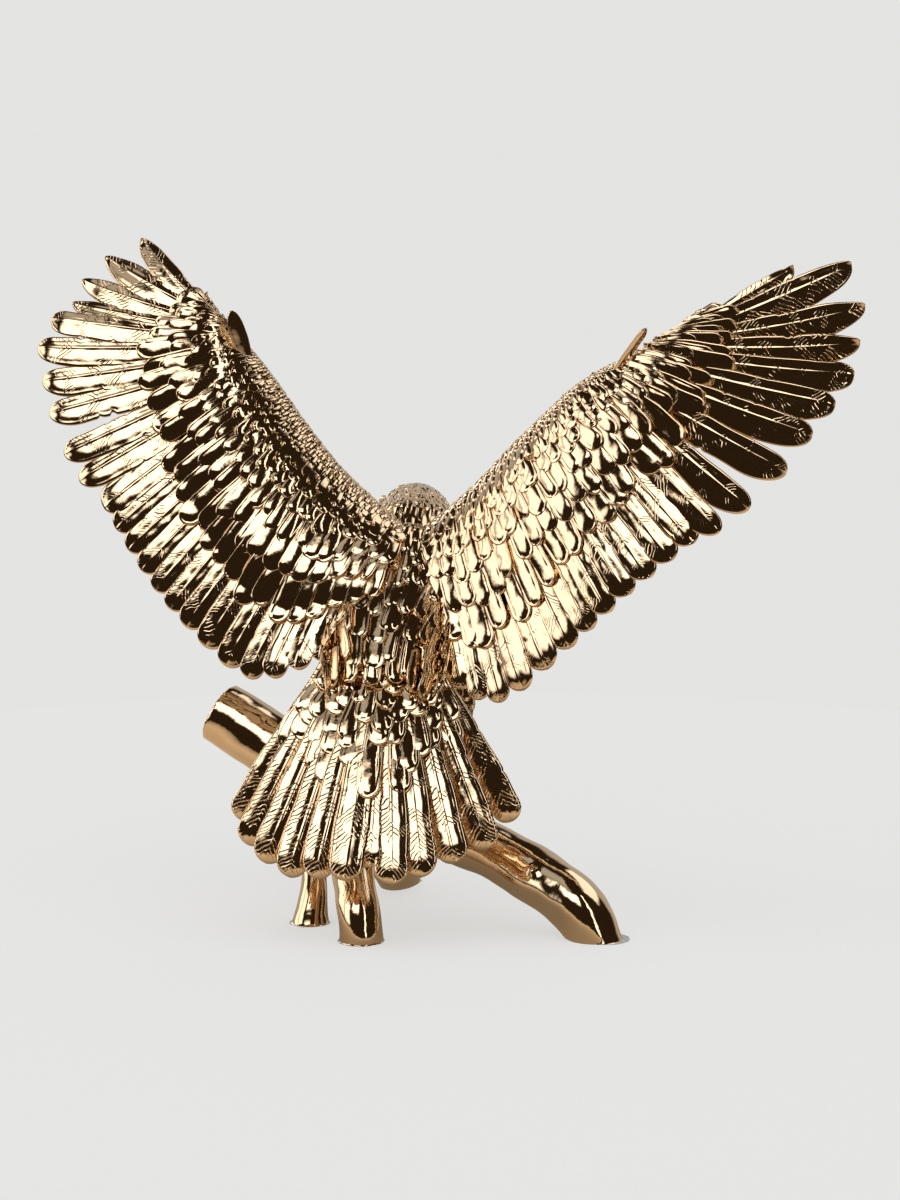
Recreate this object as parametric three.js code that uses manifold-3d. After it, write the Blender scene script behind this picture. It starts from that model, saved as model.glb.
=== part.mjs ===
// A porcelain eagle with raised, spread wings and a fanned tail, perched on a forked branch.
// It is cast and fired as one piece: branch, legs, body, wings and tail are one solid.
// Millimetres, +Z up. The eagle faces +Y, so its back and the top of its tail face -Y.
// The origin is on the ground, under the middle of the whole piece.
import * as THREE from "three";
import Module from "manifold-3d";

const wasm = await Module();
wasm.setup();

// Driving dimensions

// The middle of the figure seen from above, in the frame that the points below are given in.
const CENTRE = [-10.5, 13];

const SECONDARIES = 13;
const PRIMARIES = 10;
const FLIGHTS = SECONDARIES + PRIMARIES;

// Each wing runs from the shoulder to the hand. Leading edge and feather tips are points in space.
const RIGHT_WING = {
  lead: [[-19, 44, 321], [26, 28, 364], [69, 5, 412], [112, -18, 454], [157, -31, 478], [197, -35, 495]],
  secondaryTips: [[-6, -42, 210], [42, -67, 193], [98, -89, 242], [144, -101, 287], [196, -107, 330]],
  primaryTips: [
    [217, -108, 339], [241, -107, 358], [271, -103, 387], [292, -97, 416], [311, -90, 440],
    [327, -82, 464], [332, -73, 488], [337, -62, 517], [327, -50, 550], [282, -34, 546],
  ],
  alula: { root: [134, -34, 460], tip: [162, -60, 499] },
};
const LEFT_WING = {
  lead: [
    [-51, 46, 334], [-95, 60, 375], [-127, 76, 414], [-158, 94, 455], [-183, 104, 482], [-208, 110, 506],
  ],
  secondaryTips: [[-110, -34, 223], [-170, -24, 206], [-223, -4, 246], [-262, 18, 291], [-296, 42, 342]],
  primaryTips: [
    [-318, 54, 364], [-332, 64, 386], [-346, 78, 420], [-353, 90, 447], [-358, 102, 476],
    [-347, 112, 500], [-328, 122, 511], [-320, 132, 531], [-300, 142, 551], [-269, 150, 566],
  ],
  alula: { root: [-170, 80, 456], tip: [-186, 72, 506] },
};
const WING_CAMBER = 0.05;
const ARM_HALF_THICKNESS = [17, 15, 13, 10, 7, 4.5];
// How far the longest coverts reach towards the feather tips, and where each covert row ends within that.
const COVERT_REACH = [0.62, 0.68, 0.64, 0.55, 0.42, 0.3];
const COVERT_ROWS = [0.2, 0.42, 0.68, 1];
const UNDER_COVERT_ROW = 0.85;
const COVERT_LIFT = 3.4;
const FEATHER_THICKNESS = 3.4;
const FEATHER_STEP = 3;
const PRIMARY_BOW = 0.04;
const PRIMARY_SLOTS = [0.74, 0.5];

// The tail is a fan of feathers from one root.
const TAIL_ROOT = [-58, -34, 232];
const TAIL_TIPS = [
  [-174, -80, 97], [-167, -94, 79], [-152, -108, 67], [-132, -120, 58], [-109, -130, 59], [-86, -138, 59],
  [-47, -140, 56], [-23, -134, 61], [4, -122, 70], [31, -106, 78], [52, -82, 96],
];
const TAIL_ROOT_WIDTH = 70;
const TAIL_COVERT_ROWS = [0.2, 0.38, 0.58];

// The body's spine from the rump to the face, with half its width and half its depth.
const SPINE = [
  { centre: [-54, -40, 226], wide: 22, deep: 13 },
  { centre: [-50, -14, 238], wide: 40, deep: 27 },
  { centre: [-41, 20, 256], wide: 52, deep: 44 },
  { centre: [-35, 54, 282], wide: 56, deep: 52 },
  { centre: [-31, 82, 310], wide: 44, deep: 44 },
  { centre: [-30, 102, 325], wide: 32, deep: 30 },
  { centre: [-32, 121, 328], wide: 28, deep: 26 },
  { centre: [-35, 137, 325], wide: 20, deep: 19 },
  { centre: [-38, 144, 321], wide: 10, deep: 11 },
];
const BODY_ROWS = [0.05, 0.14, 0.23, 0.32, 0.41, 0.5, 0.58, 0.65];
const BODY_ROW_OVERHANG = 0.05;
const BEAK = [
  { centre: [-35, 134, 325], wide: 12, deep: 13 },
  { centre: [-39, 150, 327], wide: 9, deep: 10 },
  { centre: [-42, 161, 323], wide: 6, deep: 7 },
  { centre: [-43, 164, 313], wide: 1.5, deep: 2 },
];
const LEGS = [
  { hip: [-70, 42, 242], knee: [-72, 26, 166], gripAt: -64 },
  { hip: [-2, 40, 240], knee: [4, 22, 160], gripAt: 4 },
];
const THIGH = { wide: 27, narrow: 14, rows: [0.12, 0.36, 0.6] };
const SHANK_RADIUS = 9;
const TOES = [
  { sideways: -16, reach: 21 },
  { sideways: 0, reach: 25 },
  { sideways: 16, reach: 21 },
  { sideways: 0, reach: -21 },
];
const TOE_RADII = [8, 7, 1.5];

// The branch lies on three forked feet and its own cut end.
const BRANCH = {
  axis: [[-199, 50, 164], [-128, 20, 126], [-42, -6, 88], [46, -46, 57], [103, -87, 26], [133, -98, -24]],
  radius: [27, 27, 25, 24, 24, 20],
};
const FORKS = [
  { axis: [[-76, -8, 98], [-82, -60, 60], [-75, -98, 22], [-73, -103, -10]], radius: [20, 18, 18, 21] },
  { axis: [[-104, 8, 112], [-113, -6, 60], [-116, -34, 20], [-118, -42, -10]], radius: [17, 11, 13, 19] },
  { axis: [[-66, -2, 92], [-58, 40, 46], [-50, 84, 14], [-38, 118, -8]], radius: [20, 18, 17, 15] },
];

// Small helpers

const at = (x, y, z) => new THREE.Vector3(x, y, z);
const mix = (a, b, t) => a.clone().lerp(b, t);
const cross = (a, b) => new THREE.Vector3().crossVectors(a, b);
const clamp01 = (t) => Math.min(1, Math.max(0, t));
const UPPER_SIDE = at(0, -1, 0.35);

// A smooth curve through points, as a function of a share 0 to 1 that runs on straight at both ends.
function curveThrough(points) {
  const curve = new THREE.CatmullRomCurve3(points.map((p) => at(...p)), false, "catmullrom", 0.5);
  const slopeAt = (t) => curve.getPoint(t + 0.01).sub(curve.getPoint(t - 0.01)).multiplyScalar(50);
  const [before, after] = [slopeAt(0.01), slopeAt(0.99)];
  return (t) => {
    const point = curve.getPoint(clamp01(t));
    return point.addScaledVector(t < 0.5 ? before : after, t - clamp01(t));
  };
}

// A smooth value through a list of values.
function valueThrough(values) {
  const curve = curveThrough(values.map((value) => [value, 0, 0]));
  return (t) => curve(clamp01(t)).x;
}

// A manifold solid from points and triangles, turned so that its faces point out.
function solidFrom(points, triangles) {
  let volume = 0;
  for (const [a, b, c] of triangles) volume += points[a].dot(cross(points[b], points[c]));
  const turned = volume > 0 ? triangles : triangles.map(([a, b, c]) => [a, c, b]);
  return new wasm.Manifold(
    new wasm.Mesh({
      numProp: 3,
      vertProperties: new Float32Array(points.flatMap((p) => [p.x, p.y, p.z])),
      triVerts: new Uint32Array(turned.flat()),
    }),
  );
}

// A solid skinned over rings of points. A ring of one point is a closed tip. Any other end is flat, and is
// closed by zipping the two sides of its ring together, from the ring's first point on.
function loft(rings) {
  const starts = [];
  rings.reduce((start, ring) => (starts.push(start), start + ring.length), 0);
  const triangles = [];
  rings.slice(1).forEach((ring, i) => {
    const [lower, upper, a, b] = [rings[i], ring, starts[i], starts[i + 1]];
    const count = Math.max(lower.length, upper.length);
    for (let j = 0; j < count; j++) {
      const k = (j + 1) % count;
      if (lower.length === 1) triangles.push([a, b + k, b + j]);
      else if (upper.length === 1) triangles.push([a + j, a + k, b]);
      else triangles.push([a + j, a + k, b + k], [a + j, b + k, b + j]);
    }
  });
  const cap = (ring, start, reversed) => {
    const add = (a, b, c) => {
      const corners = reversed ? [c, b, a] : [a, b, c];
      triangles.push(corners.map((j) => start + j));
    };
    let [left, right] = [0, ring.length - 1];
    while (right - left > 1) {
      const leftIsNearer = ring[left + 1].distanceTo(ring[0]) < ring[right - 1].distanceTo(ring[0]);
      if (left === 0 || leftIsNearer) {
        add(left, left + 1, right);
        left++;
      } else {
        add(left, right - 1, right);
        right--;
      }
    }
  };
  cap(rings[0], starts[0], true);
  cap(rings.at(-1), starts.at(-1), false);
  return solidFrom(rings.flat(), triangles);
}

// A round limb along a curve, with its own radius at each share of its length.
function limb(points, radii, sides, steps) {
  const axis = curveThrough(points);
  const radius = valueThrough(radii);
  let across = null;
  const rings = [];
  for (let i = 0; i <= steps; i++) {
    const t = i / steps;
    const along = axis(t + 0.01).sub(axis(t - 0.01)).normalize();
    const start = across ?? (Math.abs(along.z) > 0.8 ? at(1, 0, 0) : at(0, 0, 1));
    const up = cross(along, start).normalize();
    across = cross(up, along).normalize();
    rings.push(
      Array.from({ length: sides }, (_, j) => {
        const angle = (2 * Math.PI * j) / sides;
        return axis(t)
          .addScaledVector(across, radius(t) * Math.cos(angle))
          .addScaledVector(up, radius(t) * Math.sin(angle));
      }),
    );
  }
  return loft(rings);
}

// A tube through oval sections, as a function of its length, its angle and a height above it.
function ovalTube(sections) {
  const centre = curveThrough(sections.map((s) => s.centre));
  const wide = valueThrough(sections.map((s) => s.wide));
  const deep = valueThrough(sections.map((s) => s.deep));
  return (t, angle, height) => {
    const along = centre(t + 0.02).sub(centre(t - 0.02)).normalize();
    const across = at(1, 0, 0).addScaledVector(along, -along.x).normalize();
    const up = cross(across, along).normalize();
    return centre(t)
      .addScaledVector(across, (wide(t) + height) * Math.cos(angle))
      .addScaledVector(up, (deep(t) + height) * Math.sin(angle));
  };
}

// A tube clad in rows of overlapping scales, whose round ends alternate from row to row.
function scaledTube({ surface, sides, rows, overhang, lift, ends }) {
  const ring = (t, shift, height) =>
    Array.from({ length: sides }, (_, j) => surface(t + shift(j), (2 * Math.PI * j) / sides, height));
  const even = () => 0;
  const rings = [ring(ends[0], even, 0)];
  rows.forEach((row, k) => {
    const crown = (j) => overhang * ((j + k) % 2);
    rings.push(ring(row - 0.003, crown, 0), ring(row + 0.003, crown, lift));
  });
  ends.slice(1).forEach((t) => rings.push(ring(t, even, 0)));
  return loft(rings);
}

const union = (solids) => solids.reduce((all, one) => all.add(one));

// One free feather: a blade with a ridge, narrower past its middle and closed in a point.
const BLADE_STATIONS = [[0, 0.8], [0.5, 1], [0.85, 0.6]];
function blade({ root, tip, out, width }) {
  const along = tip.clone().sub(root).normalize();
  const side = out.clone().addScaledVector(along, -out.dot(along)).normalize();
  const face = cross(along, side).normalize();
  const rings = BLADE_STATIONS.map(([t, share]) => {
    const half = (width / 2) * share;
    const deep = FEATHER_THICKNESS * 0.7;
    const corners = [[side, half], [face, deep], [side, -half], [face, -deep]];
    return corners.map(([direction, distance]) => mix(root, tip, t).addScaledVector(direction, distance));
  });
  return loft([...rings, [tip]]);
}

// The edges and the ridge of one feather in a row of overlapping ones: its share of the way across,
// its level in the step from the low edge to the high one, and how much it is cut back at its end.
const BROAD_FEATHER = [
  { share: 0.06, level: -0.5, cut: 0.05, ridge: false },
  { share: 0.5, level: 0.3, cut: 0, ridge: true },
  { share: 0.94, level: 0.5, cut: 0.05, ridge: false },
];
// A free feather has a slot before it, and its end leans back over the one before.
const freeFeather = (slot) => [
  { share: -0.2, level: 0, cut: slot, ridge: false },
  { share: -0.02, level: -0.35, cut: 0.045, ridge: false },
  { share: 0.5, level: 0.4, cut: 0, ridge: true },
  { share: 0.74, level: 0.5, cut: 0.13, ridge: false },
];

// Wings

function wing({ lead, secondaryTips, primaryTips, alula }) {
  const leadAt = curveThrough(lead);
  const secondaryAt = curveThrough(secondaryTips);
  const tips = Array.from({ length: SECONDARIES }, (_, i) => secondaryAt(i / (SECONDARIES - 1)).toArray());
  const tipAt = curveThrough([...tips, ...primaryTips]);
  const half = valueThrough(ARM_HALF_THICKNESS);
  const reach = valueThrough(COVERT_REACH);

  // The wing as a surface: u runs from the body to the hand, v from the leading edge to the feather tips.
  const flat = (u, v) => mix(leadAt(u), tipAt(u), v);
  const outward = (u, v) => flat(u + 0.04, v).sub(flat(u - 0.04, v)).normalize();
  const place = (u, v, height) => {
    const down = tipAt(u).sub(leadAt(u));
    const face = cross(down, outward(u, v)).normalize();
    if (face.dot(UPPER_SIDE) < 0) face.negate();
    const bulge = 4 * v * (1 - v) * down.length();
    const hand = clamp01(3 * u - 1.5);
    return flat(u, v)
      .addScaledVector(face, WING_CAMBER * bulge + height)
      .addScaledVector(outward(u, v), -PRIMARY_BOW * hand * bulge);
  };

  // Primaries are free at their ends, and the slots between them are deeper towards the hand.
  const columns = Array.from({ length: FLIGHTS }, (_, i) => {
    const slot = 1 - THREE.MathUtils.lerp(...PRIMARY_SLOTS, (i - SECONDARIES) / (PRIMARIES - 1));
    const edges = i < SECONDARIES ? BROAD_FEATHER : freeFeather(slot).slice(i === SECONDARIES ? 1 : 0);
    return edges.map((edge) => ({ ...edge, i }));
  }).flat();

  // One skin: rows of round coverts over the flight feathers on top, one row below.
  const plumpness = (x) => 2.2 * Math.sqrt(x) * (1 - x) ** 0.8 + 0.2 * x;
  const skin = columns.map(({ i, share, level, cut, ridge }) => {
    const u = (i + share - 0.5) / (FLIGHTS - 1);
    const onTop = (x, lift) => place(u, x * reach(u), half(u) * plumpness(x) + lift);
    const onUnder = (x, lift) => place(u, x * reach(u), -0.7 * half(u) * plumpness(x) - lift);
    const top = FEATHER_STEP * level;
    const middle = (reach(u) + 1 - cut) / 2;
    const edge = (row, even) => (ridge === even ? row : row * 0.9);
    const upperRows = COVERT_ROWS.flatMap((row, r) => {
      const x = edge(row, r % 2 === 1);
      const isLast = r === COVERT_ROWS.length - 1;
      const over = onTop(x - 0.012, COVERT_LIFT * (0.5 + row / 2) + (isLast ? top / 2 : 0));
      return [over, isLast ? place(u, x * reach(u), top) : onTop(x, 0)];
    });
    const under = edge(UNDER_COVERT_ROW, true);
    return [
      place(u, 0, 0),
      onTop(0.04, 0),
      ...upperRows,
      place(u, middle, top),
      place(u, 1 - cut, top / 2 + 0.8),
      place(u, 1 - cut, top / 2 - 0.9),
      place(u, middle, top * 0.6 - FEATHER_THICKNESS),
      place(u, under * reach(u), top * 0.6 - FEATHER_THICKNESS),
      onUnder(under - 0.012, COVERT_LIFT),
      onUnder(0.08, 0),
    ];
  });

  const spur = blade({ root: at(...alula.root), tip: at(...alula.tip), out: outward(0.7, 0), width: 20 });
  return loft(skin).add(spur);
}

// Tail

function tail() {
  const root = at(...TAIL_ROOT);
  const tipAt = curveThrough(TAIL_TIPS);
  const count = TAIL_TIPS.length;
  const place = (u, v, height) => {
    const start = root.clone().add(at((u - 0.5) * TAIL_ROOT_WIDTH, Math.abs(u - 0.5) * 8, 0));
    const end = tipAt(u);
    const face = cross(at(1, 0, 0), end.clone().sub(start)).normalize();
    if (face.dot(UPPER_SIDE) < 0) face.negate();
    return mix(start, end, v).addScaledVector(face, 14 * v * (1 - v) + height);
  };
  const columns = Array.from({ length: count }, (_, i) => {
    // Feathers nearer the middle lie over the outer ones.
    const mirrored = i < count / 2;
    return BROAD_FEATHER.map(({ share, level, cut, ridge }) => ({
      u: (i + share - 0.5) / (count - 1),
      level: ridge || !mirrored ? level : -level,
      cut,
      ridge,
    }));
  }).flat();
  const skin = columns.map(({ u, level, cut, ridge }) => {
    const top = FEATHER_STEP * level;
    const coverts = TAIL_COVERT_ROWS.flatMap((row, r) => {
      const edge = ridge === (r % 2 === 0) ? row : row - 0.05;
      return [place(u, edge, top * 0.4 + COVERT_LIFT + 1.5), place(u, edge + 0.006, top)];
    });
    return [
      place(u, -0.05, COVERT_LIFT + 2),
      ...coverts,
      place(u, 0.78, top),
      place(u, 1 - cut, top / 2 + 0.8),
      place(u, 1 - cut, top / 2 - 0.9),
      place(u, 0.7, top * 0.6 - FEATHER_THICKNESS),
      place(u, -0.05, -FEATHER_THICKNESS),
    ];
  });
  return loft(skin);
}

// Body, head and legs

function body() {
  const trunk = scaledTube({
    surface: ovalTube(SPINE),
    sides: 20,
    rows: BODY_ROWS,
    overhang: BODY_ROW_OVERHANG,
    lift: COVERT_LIFT,
    ends: [0, 0.76, 0.84, 0.92, 1],
  });
  const beakSurface = ovalTube(BEAK);
  const beak = loft(
    [0, 0.33, 0.6, 0.8, 1].map((t) =>
      Array.from({ length: 8 }, (_, j) => beakSurface(t, (Math.PI * j) / 4, 0)),
    ),
  );
  return union([trunk, beak]);
}

// The top of the branch at a place along X, where a foot grips it.
function perch(x) {
  const axis = curveThrough(BRANCH.axis);
  let [low, high] = [0, 1];
  while (high - low > 1e-4) {
    const middle = (low + high) / 2;
    if (axis(middle).x < x) low = middle;
    else high = middle;
  }
  return axis(low).add(at(0, 0, valueThrough(BRANCH.radius)(low)));
}

function leg({ hip, knee, gripAt }) {
  const section = (share, radius) => ({
    centre: mix(at(...knee), at(...hip), share).toArray(),
    wide: radius * 0.85,
    deep: radius,
  });
  const thigh = scaledTube({
    surface: ovalTube([section(0, THIGH.narrow), section(0.5, THIGH.wide * 0.85), section(1, THIGH.wide)]),
    sides: 10,
    rows: THIGH.rows,
    overhang: 0.1,
    lift: COVERT_LIFT * 0.8,
    ends: [0, 1],
  });
  const grip = perch(gripAt);
  const ankle = grip.clone().add(at(0, 0, 4));
  const shank = limb([knee, ankle.toArray()], [THIGH.narrow * 0.85, SHANK_RADIUS], 8, 2);
  const toes = TOES.map(({ sideways, reach }) => {
    const heel = grip.clone().add(at(0, 0, 6));
    const knuckle = grip.clone().add(at(sideways * 0.7, reach, 2));
    const claw = grip.clone().add(at(sideways, reach * 1.4, -24));
    return limb([heel, knuckle, claw].map((p) => p.toArray()), TOE_RADII, 5, 3);
  });
  return union([thigh, shank, ...toes]);
}

// Branch

function branch() {
  const stem = limb(BRANCH.axis, BRANCH.radius, 12, 9);
  return union([stem, ...FORKS.map((fork) => limb(fork.axis, fork.radius, 10, 5))]);
}

// Everything below the ground is cut away, so that the feet are flat.
function aboveGround(solid) {
  const [far, deep] = [450, 200];
  const corner = (j, z) => at(j === 0 || j === 3 ? -far : far, j < 2 ? -far : far, z);
  const ground = loft([0, -deep].map((z) => [0, 1, 2, 3].map((j) => corner(j, z))));
  return solid.subtract(ground);
}

function geometryOf(solid) {
  const mesh = solid.getMesh();
  return new THREE.BufferGeometry()
    .setAttribute("position", new THREE.BufferAttribute(new Float32Array(mesh.vertProperties), 3))
    .setIndex(new THREE.BufferAttribute(new Uint32Array(mesh.triVerts), 1));
}

const figure = aboveGround(
  union([branch(), ...LEGS.map(leg), body(), tail(), wing(RIGHT_WING), wing(LEFT_WING)]),
);

// The pieces meet in one shell. Slivers of space that they close in between them are filled, and
// edges shorter than this are dropped.
const SHORTEST_EDGE = 0.05;
const shell = figure.decompose().reduce((a, b) => (a.volume() > b.volume() ? a : b)).simplify(SHORTEST_EDGE);

const goldLustre = new THREE.MeshStandardMaterial({ color: 0xc9975a, roughness: 0.1, metalness: 1 });
const eagle = new THREE.Mesh(geometryOf(shell), goldLustre);
eagle.name = "eagle_on_branch";

const sculpture = new THREE.Group();
sculpture.add(eagle);
sculpture.position.set(-CENTRE[0], -CENTRE[1], 0);

export default sculpture;
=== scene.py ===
"""A porcelain eagle in gold lustre, with raised wings, on a forked branch.

Every feather is a closed shell of its own. The large ones are blades with a quill, two arched vanes and a
rolled rim, and the smallest are plain rounded scales.
Points are in millimetres in the sculptor's frame, and become metres in the shared frame when a piece is made.
"""
import math

import bpy
import numpy as np
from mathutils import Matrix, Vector


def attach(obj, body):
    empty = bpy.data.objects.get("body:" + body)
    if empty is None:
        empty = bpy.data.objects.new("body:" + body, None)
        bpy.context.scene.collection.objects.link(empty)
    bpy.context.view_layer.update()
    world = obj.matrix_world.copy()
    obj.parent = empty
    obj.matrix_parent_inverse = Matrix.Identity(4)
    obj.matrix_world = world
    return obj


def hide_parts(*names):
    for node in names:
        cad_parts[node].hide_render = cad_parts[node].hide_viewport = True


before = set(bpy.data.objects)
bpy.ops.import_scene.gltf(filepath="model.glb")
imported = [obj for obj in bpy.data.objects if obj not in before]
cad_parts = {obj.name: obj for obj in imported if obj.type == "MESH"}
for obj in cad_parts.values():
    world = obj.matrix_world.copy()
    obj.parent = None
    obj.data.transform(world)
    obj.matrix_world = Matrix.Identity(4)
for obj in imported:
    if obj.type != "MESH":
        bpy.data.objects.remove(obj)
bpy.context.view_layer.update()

bl_info = {
    "name": "Porcelain Eagle",
    "version": (1, 0, 0),
    "blender": (4, 5, 0),
    "location": "3D View > Sidebar > Eagle",
    "description": "Builds a gold lustre porcelain eagle on a forked branch, feather by feather",
    "category": "Add Mesh",
}

NODE = "eagle_on_branch"
BODY = "root"
MILLIMETRE = 0.001
TURN = 2 * math.pi

# The middle of the figure seen from above, in the sculptor's frame.
CENTRE = np.array([-10.5, 13.0, 0.0])
# Roughly where the upper side of wings and tail faces, and the face of the thumb feathers.
UPPER_SIDE = np.array([0.0, -1.0, 0.35])
THUMB_FACE = np.array([0.35, -1.0, 0.1])

SECONDARIES = 13
PRIMARIES = 10
FLIGHTS = SECONDARIES + PRIMARIES

# Leading edge and feather tips of each wing, from the shoulder to the hand. Then the thumb feather's root,
# tip and half width, how many flight feathers are pointed, and the half width of the outermost. The rolls
# say, from body to hand, how far one side of the flight feathers, of all coverts and of the last coverts is
# raised. The arm thins out faster with a larger arm_fall, and leading is the side of a feather towards the
# lead.
RIGHT_WING = {
    "lead": [(-19, 44, 321), (26, 28, 364), (69, 5, 412), (112, -18, 454), (157, -31, 478), (197, -35, 495)],
    "secondary_tips": [(-6, -42, 210), (42, -67, 193), (98, -89, 242), (144, -101, 287), (196, -107, 330)],
    "primary_tips": [
        (217, -108, 339), (241, -107, 358), (271, -103, 387), (292, -97, 416), (311, -90, 440),
        (327, -82, 464), (332, -73, 488), (337, -62, 517), (327, -50, 550), (282, -34, 546),
    ],
    "thumb": ((133, -34, 460), (160, -53, 500), 4.5),
    "pointed": 4,
    "outermost": 7.0,
    "rolls": [0.8, 0.8, -0.8, -1.8, 2.4, 3.2, 3.4],
    "covert_rolls": [0, 0, 0, -0.4, -1.6, -2.2, -2.2],
    "last_covert_rolls": [0, 0, 0, 0, 2.0, 3.0, 3.0],
    "arm_fall": 1.3,
    "leading": -1,
}
LEFT_WING = {
    "lead": [
        (-51, 46, 334), (-95, 60, 375), (-127, 76, 414), (-158, 94, 455), (-183, 104, 482), (-208, 110, 506),
    ],
    "secondary_tips": [
        (-110, -34, 223), (-170, -24, 206), (-223, -4, 246), (-262, 18, 291), (-296, 42, 342),
    ],
    "primary_tips": [
        (-318, 54, 364), (-332, 64, 386), (-346, 78, 420), (-353, 90, 447), (-358, 102, 476),
        (-347, 112, 500), (-328, 122, 511), (-320, 132, 531), (-300, 142, 551), (-269, 150, 566),
    ],
    "thumb": ((-174, 92, 464), (-188, 82, 508), 8.0),
    "pointed": 4,
    "outermost": 12.0,
    "rolls": [1.6, 1.4, 0.4, -0.4, -0.6, 0.0, -1.2],
    "covert_rolls": [0.6, 1.2, 1.4, 1.4, 1.4, 1.0, 0.4],
    "last_covert_rolls": [-0.4, 0, 0.6, 1.0, 1.0, 0.8, 0.4],
    "arm_fall": 0.9,
    "leading": 1,
}
WING_CAMBER = 0.05
ARM_HALF_THICKNESS = [17, 15, 13, 10, 7, 4.5]
COVERT_REACH = [0.62, 0.68, 0.64, 0.55, 0.42, 0.3]
PRIMARY_BOW = 0.04
# How deep the arm is below as a share of above, and the thickness of the blades between coverts and lining.
UNDER_ARM = 0.7
BLADE_THICKNESS = 1.5
# Where flight feathers start, as a share of the coverts' reach, and their half widths as shares of their
# spacing.
FLIGHT_ROOT = 0.7
SECONDARY_SPREAD = 0.57
PRIMARY_SPREAD = 0.52
WIDEST_PRIMARY = 14.0
# Rows of coverts start inside the shoulder and end past the hand, in shares of the wing.
COVERT_SPAN = (-0.07, 1.02)

TAIL_ROOT = np.array([-58.0, -34.0, 232.0])
TAIL_TIPS = [
    (-174, -80, 97), (-167, -94, 79), (-152, -108, 67), (-132, -120, 58), (-109, -130, 59), (-86, -138, 59),
    (-47, -140, 56), (-23, -134, 61), (4, -122, 70), (31, -106, 78), (52, -82, 96),
]
TAIL_ROOT_WIDTH = 70
TAIL_ROOT_SWEEP = 8
TAIL_CAMBER = 14
TAIL_THICKNESS = 3.5
TAIL_FEATHER_HALF = 14.5

# The trunk from the rump, which runs out over the tail, to the face: centre, half width and half depth.
TRUNK = [
    ((-57, -60, 198), 42, 4), ((-55, -43, 222), 48, 11), ((-51, -16, 240), 53, 25), ((-41, 19, 257), 54, 43),
    ((-35, 54, 282), 56, 52), ((-31, 82, 310), 44, 44), ((-30, 102, 325), 32, 30), ((-32, 121, 328), 28, 26),
    ((-35, 137, 325), 20, 19), ((-38, 144, 321), 10, 11),
]
TRUNK_LENGTH = 245
# Shares of the trunk where the drops end, where the pebbles end and where the bare face begins.
DROPS_END = 0.38
PEBBLES_END = 0.44
FACE_BEGINS = 0.84
# Half width of the feathers at the rump, and how much narrower those on the neck are.
RUMP_FEATHER = 9.0
NECK_NARROWER = 5.9
LEGS = [
    {"hip": (-70, 42, 242), "knee": (-72, 26, 166), "grip_at": -64},
    {"hip": (-2, 40, 240), "knee": (4, 22, 160), "grip_at": 4},
]
# Half depths of the thigh from the knee to the hip, its width as a share of them, and the toes: how far each
# reaches sideways and ahead.
THIGH_RADII = [14, 23, 27]
THIGH_FLATNESS = 0.85
TOES = ((-16, 21), (0, 25), (16, 21), (0, -21))
BRANCH_AXIS = [
    (-199, 50, 164), (-128, 20, 126), (-42, -6, 88), (46, -46, 57), (103, -87, 26), (133, -98, -24),
]
BRANCH_RADIUS = [27, 27, 25, 24, 24, 20]
# Knots in the bark: a place inside the branch, the knot's end, and its radius at both.
KNOTS = [
    ((66, -60, 46), (69, -89, 55), 9, 4), ((-150, 32, 138), (-152, 8, 154), 9, 5),
    ((18, -30, 66), (14, -36, 94), 10, 5), ((-78, -60, 60), (-70, -84, 62), 8, 4),
    ((96, -82, 30), (112, -92, 44), 9, 4), ((-54, 60, 34), (-66, 72, 40), 8, 4),
]
# The rim left round the hollowed cut end, and the depth of the hollow.
CUT_RIM = 4.5
CUT_DEPTH = 3.0
# Voxel sizes at which limbs are fused into one skin.
BRANCH_GRAIN = 2.3
FOOT_GRAIN = 1.1
HEAD_GRAIN = 0.9
FORKS = [
    {"axis": [(-76, -8, 98), (-82, -60, 60), (-75, -98, 22), (-73, -103, -10)], "radius": [20, 18, 18, 21]},
    {"axis": [(-104, 8, 112), (-113, -6, 60), (-116, -34, 20), (-118, -42, -10)], "radius": [17, 11, 13, 19]},
    {"axis": [(-66, -2, 92), (-58, 40, 46), (-50, 84, 14), (-38, 118, -8)], "radius": [20, 18, 17, 15]},
]


# Curves and surfaces


def unit(vectors):
    """Vectors of length one."""
    return vectors / np.maximum(np.linalg.norm(vectors, axis=-1, keepdims=True), 1e-9)


def smooth_step(low, high, values):
    """A soft switch from 0 at low to 1 at high."""
    share = np.clip((values - low) / (high - low), 0, 1)
    return share * share * (3 - 2 * share)


def bell(values, width):
    """A smooth bump of height 1 round 0."""
    return np.exp(-((values / width) ** 2))


def curve_through(points):
    """A smooth curve through points, as a function of shares 0 to 1, which runs on straight past its ends."""
    knots = np.array(points, float)
    padded = np.vstack([2 * knots[0] - knots[1], knots, 2 * knots[-1] - knots[-2]])
    spans = len(knots) - 1

    def inside(share):
        place = share * spans
        span = np.clip(place.astype(int), 0, spans - 1)
        step = (place - span)[..., None]
        before, start, end, after = (padded[span + k] for k in range(4))
        bend = 2 * before - 5 * start + 4 * end - after
        twist = 3 * (start - end) + after - before
        return 0.5 * (2 * start + (end - before) * step + bend * step**2 + twist * step**3)

    ends = [(inside(np.array(b)) - inside(np.array(a))) * 50 for a, b in ((0.0, 0.02), (0.98, 1.0))]

    def curve(share):
        share = np.asarray(share, float)
        held = np.clip(share, 0, 1)
        slope = np.where((share < 0.5)[..., None], ends[0], ends[1])
        return inside(held) + slope * (share - held)[..., None]

    return curve


def value_through(values):
    """A smooth value through a list of values, held at both ends."""
    curve = curve_through([(value, 0, 0) for value in values])
    return lambda share: curve(np.clip(share, 0, 1))[..., 0]


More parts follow.
